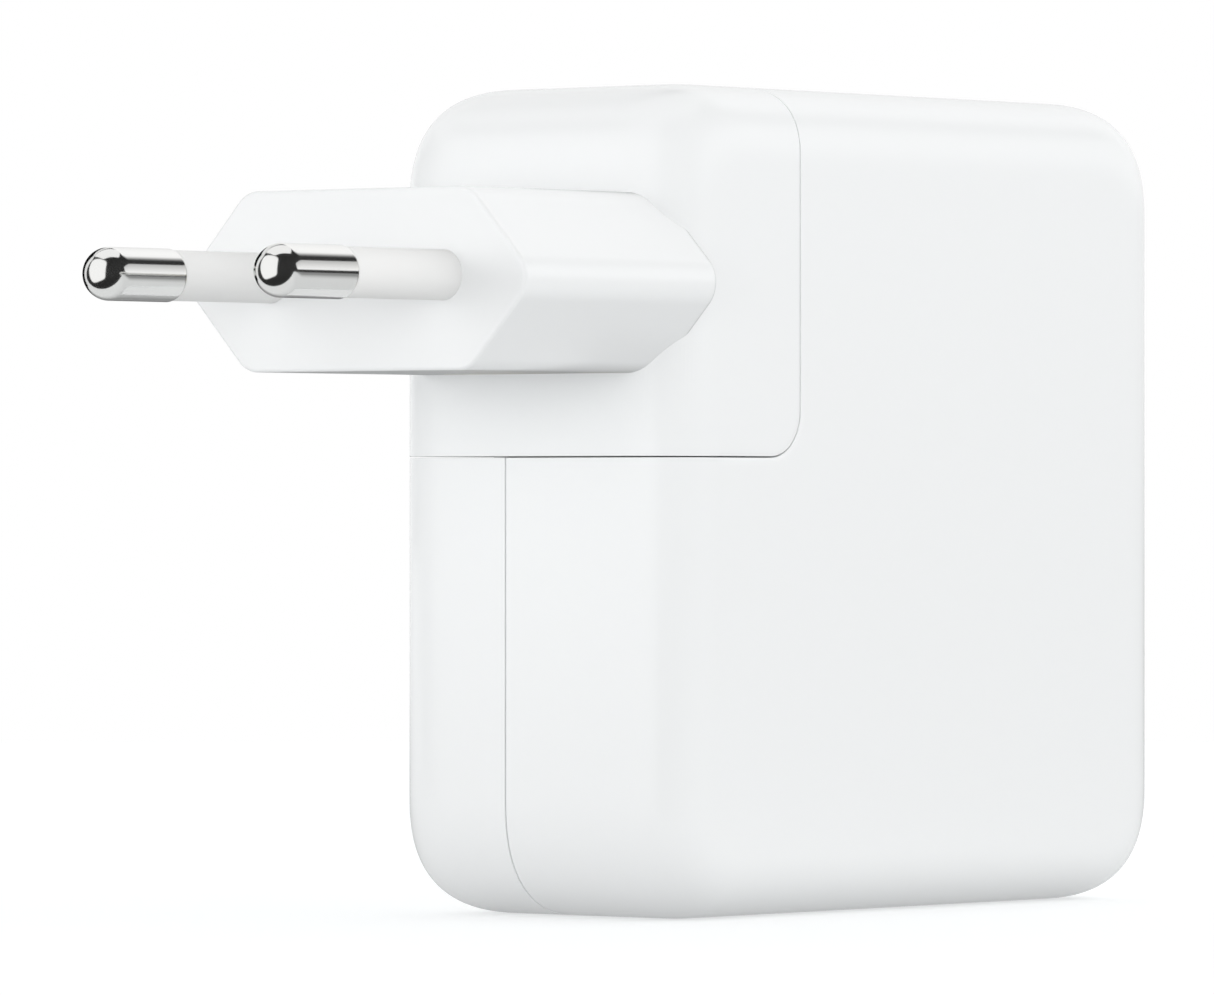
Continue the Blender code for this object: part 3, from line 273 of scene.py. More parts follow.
def mesh_object(name, points, faces):
    """A smooth-shaded object whose faces point outwards."""
    if volume_of(points, faces) < 0:
        faces = [corners[::-1] for corners in faces]
    mesh = bpy.data.meshes.new(name)
    mesh.from_pydata(points.tolist(), [], [corners.tolist() for corners in faces])
    shape = bmesh.new()
    shape.from_mesh(mesh)
    bmesh.ops.remove_doubles(shape, verts=shape.verts, dist=1e-8)
    shape.to_mesh(mesh)
    shape.free()
    mesh.shade_smooth()
    mesh.set_sharp_from_angle(angle=SHARP_ANGLE)
    made = bpy.data.objects.new(name, mesh)
    bpy.context.scene.collection.objects.link(made)
    return made


def skin(name, rows, ring_closed=False):
    """The surface through rows of points, shaped (row, point, 3), each row a closed loop.

    The two end rows are capped, or joined to each other where ring_closed is set.
    """
    count, around = rows.shape[:2]
    points = rows.reshape(-1, 3)
    index = np.arange(count * around).reshape(count, around)
    ahead = np.roll(index, -1, axis=1)
    quads = np.stack([index, ahead, np.roll(ahead, -1, axis=0), np.roll(index, -1, axis=0)], -1)
    if not ring_closed:
        quads = quads[:-1]
    faces = list(quads.reshape(-1, 4))
    if not ring_closed:
        faces += [ends for ends in (index[0][::-1], index[-1]) if np.ptp(points[ends]) > 1e-9]
    return mesh_object(name, points, faces)


def across(axis, along, plane):
    """Rows in space from plane points (row, point, 2) and each row's place along the axis."""
    along = np.broadcast_to(np.asarray(along, float)[:, None], plane.shape[:2])
    order = {"X": (along, plane[..., 0], plane[..., 1]), "Y": (plane[..., 0], along, plane[..., 1])}
    order["Z"] = (plane[..., 0], plane[..., 1], along)
    return np.stack(order[axis], -1)


def turn(centre_a, centre_b, radius, start, end, fullness=2.0, steps=FILLET_STEPS):
    """A quarter of a superellipse in each row, from one compass way to the next.

    A point is centre + radius * (start * cos(t)^(2/fullness) + end * sin(t)^(2/fullness)), t from 0 to
    90 degrees. One more point stands a little before and after it, on the straight sides.
    """
    centre_a, centre_b, radius = flat_list(centre_a, centre_b, radius)
    t = np.linspace(0, math.pi / 2, steps + 1)[:, None]
    reach = np.cos(t) ** (2 / fullness) * start + np.sin(t) ** (2 / fullness) * end
    centre = np.stack([centre_a, centre_b], -1)[:, None, :]
    points = centre + radius[:, None, None] * reach
    before, after = points[:, :1] - GUARD * end, points[:, -1:] - GUARD * start
    return np.concatenate([before, points, after], axis=1)


def joined(corners, count):
    """Whole outlines from their corners, each stretched to this many rows."""
    return np.concatenate([np.broadcast_to(c, (count, *c.shape[1:])) for c in corners], axis=1)


def corner_rows(*corners):
    """Rows of a polygon (row, corner, 2) from one pair of arrays for each corner."""
    return np.stack([np.stack(pair, -1) for pair in corners], axis=1)


def circle(radius, steps=TURN_STEPS):
    """Rows of circle points (row, point, 2), one row for each radius."""
    t = np.arange(steps) * 2 * math.pi / steps
    return np.asarray(radius, float)[:, None, None] * np.stack([np.cos(t), np.sin(t)], -1)


def turned(name, profile, origin, pointing, steps=TURN_STEPS, ring_closed=False):
    """A profile of (radius, along) pairs turned about an axis: origin + along * axis + radius * spoke."""
    profile = np.asarray(profile, float)
    axis = np.asarray(pointing, float) / np.linalg.norm(pointing)
    side = np.cross(axis, (0.0, 0.0, 1.0) if abs(axis[2]) < 0.9 else (1.0, 0.0, 0.0))
    side /= np.linalg.norm(side)
    plane = circle(profile[:, 0], steps)
    spoke = plane[..., :1] * side + plane[..., 1:] * np.cross(axis, side)
    rows = np.asarray(origin, float) + profile[:, 1][:, None, None] * axis + spoke
    return skin(name, rows, ring_closed)


def rounded_polygon(corners, radius, steps=FILLET_STEPS):
    """Rows of a polygon (row, corner, 2) with each corner an arc that touches both its sides.

    The arc's spokes turn evenly from the first touching point to the second one.
    """
    radius = np.broadcast_to(np.asarray(radius, float), corners.shape[:1])[:, None, None]
    back = np.roll(corners, 1, axis=1) - corners
    ahead = np.roll(corners, -1, axis=1) - corners
    back /= np.linalg.norm(back, axis=-1, keepdims=True)
    ahead /= np.linalg.norm(ahead, axis=-1, keepdims=True)
    half = np.arccos(np.clip((back * ahead).sum(-1, keepdims=True), -1, 1)) / 2
    middle = back + ahead
    middle /= np.linalg.norm(middle, axis=-1, keepdims=True)
    centre = corners + middle * radius / np.sin(half)
    first = (corners + back * radius / np.tan(half) - centre) / radius
    last = (corners + ahead * radius / np.tan(half) - centre) / radius
    sweep = (math.pi - 2 * half)[:, :, None]
    t = np.linspace(0, 1, steps + 1)[:, None]
    spoke = np.sin((1 - t) * sweep) * first[:, :, None] + np.sin(t * sweep) * last[:, :, None]
    points = centre[:, :, None] + radius[..., None] * spoke / np.sin(sweep)
    before = points[:, :, :1] + GUARD * back[:, :, None]
    after = points[:, :, -1:] + GUARD * ahead[:, :, None]
    points = np.concatenate([before, points, after], axis=2)
    return points.reshape(len(corners), -1, 2)


def quarter_round(radius, steps=BREAK_STEPS):
    """(depth, inset) of a rounded edge below a face: from (0, radius) down to (radius, 0)."""
    t = np.linspace(0, math.pi / 2, steps + 1)
    return radius * (1 - np.cos(t)), radius * (1 - np.sin(t))


def combine(piece, *tools):
    """Joins or cuts the piece with each (tool, operation), then keeps only the finished mesh."""
    for tool, operation in tools:
        change = piece.modifiers.new(tool.name, "BOOLEAN")
        change.operation = operation
        change.solver = "EXACT"
        change.object = tool
    graph = bpy.context.evaluated_depsgraph_get()
    finished = bpy.data.meshes.new_from_object(piece.evaluated_get(graph))
    piece.modifiers.clear()
    piece.data = finished
    for tool, _ in tools:
        bpy.data.objects.remove(tool, do_unlink=True)
    finished.materials.clear()
    finished.shade_smooth()
    finished.set_sharp_from_angle(angle=SHARP_ANGLE)
    return piece


def settle(piece, body, finish, *nodes):
    """The finished piece rides a body, wears a slot's finish and stands for its CAD nodes."""
    piece.data.materials.append(finish_for(finish))
    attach(piece, body)
    if nodes:
        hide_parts(*nodes)
    return piece


# ---------------------------------------------------------------------------------------------------
# Housing
# ---------------------------------------------------------------------------------------------------


def edge_rows(depth, inset):
    """(depth, rounding) down the rounded edge of a broad face, a quarter of a superellipse.

    depth falls by reach * (1 - cos(t)^(2/fullness)) while rounding, the draw of the sides, falls from its
    full value to nothing as 1 - sin(t)^(2/fullness).
    """
    sizes = housing_sizes()
    t = np.linspace(0, math.pi / 2, EDGE_STEPS + 1)
    power = 2 / sizes.edge_fullness
    deep = depth - (sizes.edge_depth - inset) * (1 - np.cos(t) ** power)
    return deep, (sizes.edge_inset - inset) * (1 - np.sin(t) ** power)


def broken_edge(below):
    """Draw of a seam's edge at this distance below the broad face: a small quarter circle."""
    radius = housing_sizes().edge_break
    return radius - np.sqrt(radius**2 - np.clip(radius - below, 0, radius) ** 2)


def broad_side_rows(inset=0.0):
    """Rows (depth, inset, rounding, seam draw) from the flat of a broad face to the straight sides."""
    depth, rounding = edge_rows(HALF_DEPTH - inset, inset)
    draw = broken_edge(HALF_DEPTH - inset - depth)
    rows = np.stack([depth, np.full_like(depth, inset), rounding, draw], -1)
    flat = rows[:1] + (0.0, 0.0, FLAT_GUARD, FLAT_GUARD)
    return np.concatenate([flat, rows])


def housing_outline(inset, rounding, draw):
    """The L-shaped outline in each row, clockwise from the top of the notch's wall."""
    sizes = housing_sizes()
    fullness, small = sizes.corner_fullness, sizes.edge_break
    side = RIGHT - inset - rounding
    top = TOP - inset - rounding
    bottom = inset + rounding
    radius = sizes.corner_radius - inset - rounding
    wall = NOTCH_X + sizes.seam / 2 + inset + draw
    shelf = NOTCH_Z - sizes.seam / 2 - inset - draw
    fillet = sizes.notch_fillet + sizes.seam + inset + draw
    corners = [
        turn(wall + small, top - small, small, WEST, NORTH, steps=BREAK_STEPS),
        turn(side - radius, top - radius, radius, NORTH, EAST, fullness, CORNER_STEPS),
        turn(side - radius, bottom + radius, radius, EAST, SOUTH, fullness, CORNER_STEPS),
        turn(radius - side, bottom + radius, radius, SOUTH, WEST, fullness, CORNER_STEPS),
        turn(small - side, shelf - small, small, WEST, NORTH, steps=BREAK_STEPS),
        turn(wall - fillet, shelf + fillet, fillet, SOUTH, EAST),
    ]
    return joined(corners, len(inset))


def half_shell(name, side, rim, joint_rows):
    """One half of the housing: broad face, rounded edge, rim, the rows of its lip, and the inside.

    Depth is measured from the middle of the housing towards this half's broad face.
    """
    sizes = housing_sizes()
    small = sizes.edge_break
    below, draw = quarter_round(small)
    rim_arc = np.stack([rim + below[::-1], draw[::-1], 0 * below, 0 * below], -1)
    guard = rim_arc[:1] + (GUARD, 0.0, 0.0, 0.0)
    inside = broad_side_rows(sizes.wall)[::-1]
    rows = np.concatenate([broad_side_rows(), guard, rim_arc, np.array(joint_rows), inside])
    outline = housing_outline(rows[:, 1], rows[:, 2], rows[:, 3])
    return skin(name, across("Y", side * rows[:, 0], outline))


def waisted_oval(grow):
    """Rows of the connector's two-lobed outline: two half circles joined by sides that dip as cos^2."""
    sizes = head_sizes()
    grow = np.atleast_1d(np.asarray(grow, float))[:, None]
    end = sizes.nose_thickness / 2
    centre = sizes.nose_width / 2 - end
    t = np.linspace(-math.pi / 2, math.pi / 2, TURN_STEPS // 2)
    along = np.linspace(centre, -centre, FILLET_STEPS + 2)[1:-1]
    dip = sizes.nose_waist * np.cos(math.pi * along / 2 / centre) ** 2
    lobe = np.stack([(end + grow) * np.sin(t), centre + (end + grow) * np.cos(t)], -1)
    waist = np.stack([end + grow - dip, along + 0 * grow], -1)
    half = np.concatenate([lobe, waist], axis=1)
    return np.concatenate([half, -half], axis=1) + (NOSE_X, 0.0)


def nose_rows(heights, grow):
    return across("Z", heights, waisted_oval(grow))


def flared_cutter(name, outline_at, surface, depth, radius, axis):
    """A cutter whose mouth flares as a quarter circle, so that the hole's edge comes out rounded."""
    below, grow = quarter_round(radius, FILLET_STEPS // 2)
    along = np.concatenate([[surface + radius], surface - below, [surface - depth]])
    return skin(name, across(axis, along, outline_at(np.concatenate([[radius], grow, [0.0]]))))


def socket_outline(grow):
    """Rows of the upright slot with half-round ends, grown outwards all round."""
    grow = np.atleast_1d(np.asarray(grow, float))[:, None]
    wall = socket_sizes().shell_wall
    radius = (SOCKET_HIGH.y - SOCKET_LOW.y) / 2 - wall
    reach = (SOCKET_HIGH.z - SOCKET_LOW.z) / 2 - wall - radius
    t = np.linspace(0, math.pi, TURN_STEPS // 2)
    upper = np.stack([(radius + grow) * np.cos(t), reach + (radius + grow) * np.sin(t)], -1)
    return np.concatenate([upper, -upper], axis=1) + (SOCKET_Y, SOCKET_Z)


def housing_cutters():
    """Tools for the socket's hole, the stud's hole and the inlet's opening in the notch."""
    sizes, head = housing_sizes(), head_sizes()
    past = 2 * sizes.wall
    wall_face = NOTCH_X + sizes.seam / 2
    shelf = NOTCH_Z - sizes.seam / 2
    hole_radius = head.stud_neck / 2 + CAD_GAP

    def socket_hole(grow):
        return socket_outline(np.asarray(grow) + socket_sizes().shell_wall + CAD_GAP / 2)

    def inlet_hole(grow):
        return waisted_oval(np.asarray(grow) + CAD_GAP)

    socket = flared_cutter("socket_cutter", socket_hole, RIGHT, past, socket_sizes().mouth_round, "X")
    inlet = flared_cutter("inlet_cutter", inlet_hole, shelf, past, CAD_GAP, "Z")
    stud = [(hole_radius, -past), (hole_radius, past)]
    stud = turned("stud_cutter", stud, (wall_face, STUD_Y, STUD_Z), (1, 0, 0))
    return socket, stud, inlet


def front_shell():
    """The deeper half, with a lip inside its rim and the output socket's hole."""
    sizes = housing_sizes()
    lip, wall = sizes.lip_inset, sizes.wall
    rim, end = sizes.seam / 2 - SEAM_Y, -SEAM_Y - sizes.lip_length
    joint = [(rim, lip, 0.0, 0.0), (end, lip, 0.0, 0.0), (end, wall, 0.0, 0.0)]
    shell = half_shell("front_shell_skin", -1, rim, joint)
    combine(shell, *[(tool, "DIFFERENCE") for tool in housing_cutters()])
    return settle(shell, "housing", "housing_white", "front_shell")


def back_shell():
    """The shallower half, rebated for the lip, with four posts inside that carry the board."""
    sizes = housing_sizes()
    rebate, wall = sizes.lip_inset - CAD_GAP / 2, sizes.wall
    rim, end = SEAM_Y + sizes.seam / 2, SEAM_Y + sizes.lip_length + CAD_GAP
    joint = [(rim, rebate, 0.0, 0.0), (end, rebate, 0.0, 0.0), (end, wall, 0.0, 0.0)]
    shell = half_shell("back_shell_skin", 1, rim, joint)
    side, high = RIGHT - sizes.post_inset, TOP - sizes.post_inset
    inner = NOTCH_X + CAD_GAP / 2 + wall + sizes.post_diameter
    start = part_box("main_board")[1].y + CAD_GAP
    length = HALF_DEPTH - wall / 2 - start
    tools = []
    for x, z in ((side, sizes.post_inset), (-side, sizes.post_inset), (side, high), (inner, high)):
        profile = [(sizes.post_diameter / 2, 0.0), (sizes.post_diameter / 2, length)]
        tools.append((turned("post", profile, (x, start, z), (0, 1, 0), FILLET_STEPS * 2), "UNION"))
    socket, stud, inlet = housing_cutters()
    bpy.data.objects.remove(socket, do_unlink=True)
    bpy.data.objects.remove(stud, do_unlink=True)
    combine(shell, *tools, (inlet, "DIFFERENCE"))
    return settle(shell, "housing", "housing_white", "back_shell")


# ---------------------------------------------------------------------------------------------------
# Plug head
# ---------------------------------------------------------------------------------------------------


def head_outline(inset, rounding, draw, right, bottom, fillet):
    """The plug head's outline in each row: one big outer corner and one small inner corner."""
    sizes = housing_sizes()
    small = sizes.edge_break
    left, top = LEFT + inset + rounding, TOP - inset - rounding
    radius = sizes.corner_radius - inset - rounding
    right, bottom, fillet = right - draw, bottom + draw, fillet - draw
    corners = [
        turn(right - fillet, bottom + fillet, fillet, EAST, SOUTH),
        turn(left + small, bottom + small, small, SOUTH, WEST, steps=BREAK_STEPS),
        turn(left + radius, top - radius, radius, WEST, NORTH, sizes.corner_fullness, CORNER_STEPS),
        turn(right - small, top - small, small, NORTH, EAST, steps=BREAK_STEPS),
    ]
    return joined(corners, len(inset))


def head_block(name, inset, right, bottom, fillet):
    """A solid with the plug head's outline and both rounded edges."""
    front = broad_side_rows(inset)
    rows = np.concatenate([front * (-1, 1, 1, 1), front[::-1]])
    outline = head_outline(rows[:, 1], rows[:, 2], rows[:, 3], right, bottom, fillet)
    return skin(name, across("Y", rows[:, 0], outline))


def hexagon(inset):
    """Rows of the boss outline, two level and four slanted sides, moved inwards by inset."""
    sizes = head_sizes()
    inset = np.atleast_1d(np.asarray(inset, float))
    half_width, half_height = sizes.boss_width / 2, sizes.boss_height / 2
    slant = np.array([half_height, half_width - sizes.boss_flat / 2])
    slant /= np.linalg.norm(slant)
    reach, height = half_width * slant[0] - inset, half_height - inset
    flat, tip = (reach - height * slant[1]) / slant[0], reach / slant[0]
    level = 0 * tip
    lower, upper = [(-flat, -height), (flat, -height)], [(flat, height), (-flat, height)]
    corners = corner_rows((-tip, level), *lower, (tip, level), *upper)
    return rounded_polygon(corners, sizes.boss_corner - inset / 2) + (0.0, TOP - sizes.boss_below_top)


def boss():
    """The six-sided block that carries the pins, with rounded rims at its front and behind its tips."""
    sizes = head_sizes()
    below, inset = quarter_round(sizes.boss_front_round, FILLET_STEPS // 2)
    behind, draw = quarter_round(sizes.boss_rear_round, FILLET_STEPS // 2)
    rear = LEFT + sizes.boss_root
    front_end, rear_start = BOSS_FACE + below[-1] + GUARD, rear - behind[-1] - GUARD
    x = [[BOSS_FACE], BOSS_FACE + below, [front_end, rear_start], rear - behind[::-1], [rear]]
    inset = [inset[:1] + FLAT_GUARD / 2, inset, [0.0, 0.0], draw[::-1], draw[:1] + FLAT_GUARD / 2]
    return skin("boss", across("X", np.concatenate(x), hexagon(np.concatenate(inset))))


def pin_axis(side):
    """Where a pin leaves the boss, and the way it points."""
    sizes = head_sizes()
    lean = sizes.pin_lean
    place = (BOSS_FACE, side * sizes.pin_spacing / 2, PIN_Z)
    return place, (-math.cos(lean), -side * math.sin(lean), 0.0)


def pin_cutter(side):
    """A stepped hole: wide for the root of the sleeve, then narrow for the pin's neck."""
    sizes = head_sizes()
    wide, narrow = sizes.sleeve_diameter / 2 + CLOSE_FIT, sizes.pin_neck / 2 + CAD_GAP
    step, far = -sizes.sleeve_depth - CAD_GAP, BOSS_FACE - LEFT - 3 * housing_sizes().wall
    profile = [(wide, CAD_GAP), (wide, step), (narrow, step), (narrow, far)]
    return turned("pin_cutter", profile, *pin_axis(side))


def slot_rows(x, half_width, low, top):
    """An upright slot in space, open below and half round above."""
    t = np.linspace(0, math.pi, FILLET_STEPS * 2)
    round_top = np.stack([half_width * np.cos(t), top + half_width * np.sin(t)], -1)
    foot = np.array([(-half_width, low), (half_width, low)])
    outline = np.concatenate([foot, round_top]) + (STUD_Y, 0.0)
    return across("X", x, np.stack([outline, outline]))


def neck_slot(right):
    half = head_sizes().stud_neck / 2 + CAD_GAP
    low = NOTCH_Z - housing_sizes().wall
    rows = slot_rows([COVER_BACK - CAD_GAP, right + CAD_GAP * 3], half, low, STUD_Z)
    return skin("neck_slot", rows)


def head_way():
    """The wider way in under the cover for the stud's head."""
    half = STUD_HEAD + CAD_GAP
    depth = COVER_BACK - STUD_LOW.x + CAD_GAP
    rows = slot_rows([COVER_BACK - depth, COVER_BACK], half, NOTCH_Z - half, HEAD_FLOOR)
    return skin("head_way", rows)


def plug_head_shell():
    """The outer moulding: a hollow corner block with the boss, open towards the housing's wall."""
    sizes, head = housing_sizes(), head_sizes()
    right, bottom = NOTCH_X - sizes.seam / 2, NOTCH_Z + sizes.seam / 2
    shell = head_block("plug_head_skin", 0.0, right, bottom, sizes.notch_fillet)
    hollow = head_block("head_hollow", sizes.wall, right + sizes.wall, HEAD_FLOOR, sizes.wall / 2)
    through = [NOTCH_Z - sizes.wall, HEAD_FLOOR + sizes.wall]
    nose = skin("nose_hole", nose_rows(through, [CAD_GAP / 2] * 2))
    cuts = [hollow, nose, neck_slot(right), head_way(), pin_cutter(-1), pin_cutter(1)]
    combine(shell, (boss(), "UNION"), *[(tool, "DIFFERENCE") for tool in cuts])
    shell.visible_glossy = False
    return settle(shell, "plug_head", "plug_white", "plug_head_shell")


def plug_head_cover():
    """The plate that closes the hollow beside the housing, slotted for the stud."""
    sizes = housing_sizes()
    inset = sizes.wall + CAD_GAP / 4
    right = NOTCH_X - sizes.seam / 2
    rows = broad_side_rows(inset)[1:]
    y = np.concatenate([-rows[:, 0], rows[::-1, 0]])
    top = TOP - inset - np.concatenate([rows[:, 2], rows[::-1, 2]])
    left = np.full_like(top, COVER_BACK)
    bottom = np.full_like(top, HEAD_FLOOR + CAD_GAP / 4)
    edge = left + right - COVER_BACK
    corners = corner_rows((left, bottom), (edge, bottom), (edge, top), (left, top))
    outline = rounded_polygon(corners, sizes.edge_break, BREAK_STEPS)
    cover = skin("plug_head_cover_skin", across("Y", y, outline))
    combine(cover, (neck_slot(right), "DIFFERENCE"))
    return settle(cover, "plug_head", "plug_white", "plug_head_cover")


def plug_connector():
    """The two-lobed nose under the plug head, rounded at its end and bored for the contacts."""
    sizes = head_sizes()
    soft = CAD_GAP * 1.5
    below, inset = quarter_round(soft, FILLET_STEPS // 2)
    heights = np.concatenate([[NOSE_LOW.z], NOSE_LOW.z + below, [NOSE_LOW.z + soft + GUARD, NOSE_HIGH.z]])
    grow = -np.concatenate([inset[:1] + GUARD, inset, [0.0, 0.0]])
    nose = skin("plug_connector_skin", nose_rows(heights, grow))
    flange_low = HEAD_FLOOR + CAD_GAP
    half_x, half_y = (NOSE_HIGH.x - NOSE_LOW.x) / 2, (NOSE_HIGH.y - NOSE_LOW.y) / 2
    corners = np.array([(-half_x, -half_y), (half_x, -half_y), (half_x, half_y), (-half_x, half_y)])
    corners = np.stack([corners + (NOSE_X, 0.0)] * 2)
    rows = across("Z", [flange_low, NOSE_HIGH.z - GUARD], rounded_polygon(corners, soft))
    tools = [(skin("nose_flange", rows), "UNION")]
    for _, side in SIDES:
        radius = sizes.contact_bore / 2
        profile = [(radius + CAD_GAP, -CUT_PAST), (radius + CAD_GAP, 0.0), (radius, CAD_GAP)]
        profile.append((radius, NOSE_HIGH.z - NOSE_LOW.z + CUT_PAST))
        place = (NOSE_X, side * sizes.contact_spacing / 2, NOSE_LOW.z)
        tools.append((turned("contact_bore", profile, place, (0, 0, 1), TURN_STEPS // 2), "DIFFERENCE"))
    combine(nose, *tools)
    return settle(nose, "plug_head", "inner_white", "plug_connector")


def dome(radius, tip, steps=FILLET_STEPS):
    """(radius, along) pairs of a half-round end that closes at the tip."""
    t = np.linspace(0, math.pi / 2, steps + 1)
    return np.stack([radius * np.cos(t), tip - radius + radius * np.sin(t)], -1)


def mains_pin(where, side):
    """A turned pin: a thin neck inside the sleeve, a crisp shoulder and a half-round tip."""
    sizes = head_sizes()
    neck, radius = sizes.pin_neck / 2, sizes.pin_diameter / 2
    shoulder = sizes.pin_length - sizes.pin_bare
    box_low, box_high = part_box(f"plug_pin_{where}")
    tail = (box_high.x - BOSS_FACE) / math.cos(sizes.pin_lean)
    below, draw = quarter_round(CAD_GAP / 3)
    rim = np.stack([radius - draw, shoulder + below], -1)
    start = [(0.0, -tail), (neck, -tail), (neck, shoulder), (rim[0, 0] - GUARD, shoulder)]
    body = [(radius, shoulder + below[-1] + GUARD), (radius, sizes.pin_length - radius - GUARD)]
    profile = np.concatenate([start, rim, body, dome(radius, sizes.pin_length)])
    pin = turned(f"mains_pin_{where}", profile, *pin_axis(side))
    return settle(pin, "plug_head", "nickel_plate", f"plug_pin_{where}")


def pin_sleeve(where, side):
    """The insulating sleeve, softened at its outer rim and rooted in the boss."""
    sizes = head_sizes()
    outer, inner = sizes.sleeve_diameter / 2, sizes.pin_neck / 2 + CAD_GAP / 5
    end = sizes.pin_length - sizes.pin_bare - CAD_GAP / 10
    below, draw = quarter_round(CAD_GAP / 2)
    rim = np.stack([outer - draw, end - below], -1)[::-1]
    start = [(inner, -sizes.sleeve_depth), (outer, -sizes.sleeve_depth), (outer, rim[0, 1] - GUARD)]
    profile = np.concatenate([start, rim, [(rim[-1, 0] - GUARD, end), (inner, end)]])
    sleeve = turned(f"mains_pin_sleeve_{where}", profile, *pin_axis(side), ring_closed=True)
    sleeve.visible_glossy = False
    return settle(sleeve, "plug_head", "sleeve_white", f"pin_sleeve_{where}")


# ---------------------------------------------------------------------------------------------------
# Stud, inlet pins and output socket
# ---------------------------------------------------------------------------------------------------


def retaining_stud():
    """The mushroom stud in the notch's wall: domed head, neck and riveted end."""
    neck, head = head_sizes().stud_neck / 2, STUD_HEAD
    head_back = COVER_BACK - CAD_GAP
    face = STUD_LOW.x
    crown = (head_back - face) / 2
    t = np.linspace(0, math.pi / 2, FILLET_STEPS)
    front = np.stack([head * np.sin(t), face + crown * (1 - np.cos(t))], -1)
    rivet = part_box("stud_plate")[1].x
    rivet_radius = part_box("stud_plate")[1].y - STUD_Y - CAD_GAP * 3
    back = [(head, head_back - GUARD), (head - GUARD, head_back), (neck, head_back), (neck, rivet)]
    back += [(rivet_radius, rivet), (rivet_radius, STUD_HIGH.x - GUARD)]
    back += [(rivet_radius - GUARD, STUD_HIGH.x)]
    profile = np.concatenate([front, back])
    stud = turned("guide_stud", profile, (0.0, STUD_Y, STUD_Z), (1, 0, 0))
    return settle(stud, "housing", "stainless_steel", "retaining_stud")


def inlet_pins():
    """The two round-nosed pins that stand in the inlet's well."""
    sizes = head_sizes()
    for where, side in SIDES:
        node = f"inlet_pin_{where}"
        low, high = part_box(node)
        radius = sizes.inlet_pin / 2
        profile = np.concatenate([[(0.0, low.z), (radius, low.z)], dome(radius, high.z)])
        place = (NOSE_X, side * sizes.contact_spacing / 2, 0.0)
        pin = turned(f"{node}_turned", profile, place, (0, 0, 1), TURN_STEPS // 2)
        settle(pin, "housing", "nickel_plate", node)


def socket_shell():
    """The drawn steel shell, rolled a little outwards round its mouth."""
    wall = socket_sizes().shell_wall
    x = np.array([SOCKET_LOW.x, SOCKET_LOW.x, SOCKET_HIGH.x - wall])
    t = np.linspace(0, math.pi, FILLET_STEPS)
    x = np.concatenate([x, SOCKET_HIGH.x - wall / 2 + wall / 2 * np.sin(t)])
    grow = np.concatenate([[0.0, wall, wall], wall / 2 + wall / 2 * np.cos(t)])
    shell = skin("socket_shell_drawn", across("X", x, socket_outline(grow)), ring_closed=True)
    return settle(shell, "housing", "stainless_steel", "socket_shell")


# The block's share of the tongue's length, and where its contacts start, end and stand proud, in metres
BLOCK_SHARE = 0.32
CONTACT_REACH = 0.0042
CONTACT_SETBACK = 0.0005
CONTACT_PROUD = 0.00004


def socket_tongue():
    """The black block at the back of the socket and the thin tongue that stands on it."""
    sizes = socket_sizes()
    half_y, half_z = sizes.tongue_thickness / 2, sizes.tongue_width / 2
    back = TONGUE_LOW.x
    block_end = back + (TONGUE_HIGH.x - back) * BLOCK_SHARE
    outline = socket_outline([-CAD_GAP / 2] * 2)
    block = skin("socket_tongue_moulded", across("X", [back, block_end], outline))
    below, inset = quarter_round(half_y * 0.6)
    tip = TONGUE_HIGH.x - below[::-1]
    x = np.concatenate([[(back + block_end) / 2, tip[0] - GUARD], tip])
    inset = np.concatenate([[0.0, 0.0], inset[::-1]])
    y, z = half_y - inset, half_z - inset
    corners = corner_rows((-y, -z), (y, -z), (y, z), (-y, z))
    blade = across("X", x, rounded_polygon(corners + (SOCKET_Y, SOCKET_Z), half_y * 0.3, BREAK_STEPS))
    combine(block, (skin("tongue_blade", blade), "UNION"))
    return settle(block, "housing", "black_moulding", "socket_tongue")


def socket_contacts():
    """Gold strips along both faces of the tongue, a little proud of it, as one piece."""
    sizes = socket_sizes()
    count, half = sizes.contacts, sizes.contact_width / 2
    pitch = sizes.tongue_width / (count + 0.5)
    start, end = TONGUE_HIGH.x - CONTACT_REACH, TONGUE_HIGH.x - CONTACT_SETBACK
    face = sizes.tongue_thickness / 2
    corners = np.array([(x, y, z) for x in (start, end) for y in (-1, 1) for z in (-half, half)])
    faces = np.array([(0, 1, 3, 2), (4, 6, 7, 5), (0, 4, 5, 1), (2, 3, 7, 6), (0, 2, 6, 4), (1, 5, 7, 3)])
    places = np.array([(s, (i - (count - 1) / 2) * pitch) for s in (-1, 1) for i in range(count)])
    points = np.repeat(corners[None], len(places), axis=0)
    points[..., 1] = SOCKET_Y + places[:, :1] * face + corners[:, 1] * CONTACT_PROUD
    points[..., 2] += SOCKET_Z + places[:, 1:]
    every = (faces[None] + 8 * np.arange(len(places))[:, None, None]).reshape(-1, 4)
    contacts = mesh_object("socket_contacts", points.reshape(-1, 3), list(every))
    contacts.data.shade_flat()
    return settle(contacts, "housing", "contact_brass")


# ---------------------------------------------------------------------------------------------------
# Materials
# ---------------------------------------------------------------------------------------------------


def add_node(tree, kind, settings=None, inputs=None):
    """One node, with its settings, and its inputs by name or number as values or links."""
    made = tree.nodes.new(kind)
    for key, value in (settings or {}).items():
        setattr(made, key, value)
    for key, value in (inputs or {}).items():
        if isinstance(value, bpy.types.NodeSocket):
            tree.links.new(value, made.inputs[key])
        else:
            made.inputs[key].default_value = value
    return made


def maths(tree, operation, *values):
    made = add_node(tree, "ShaderNodeMath", {"operation": operation}, dict(enumerate(values)))
    return made.outputs[0]


def times(tree, first, *others):
    """The product of two or more values."""
    for other in others:
        first = maths(tree, "MULTIPLY", first, other)
    return first


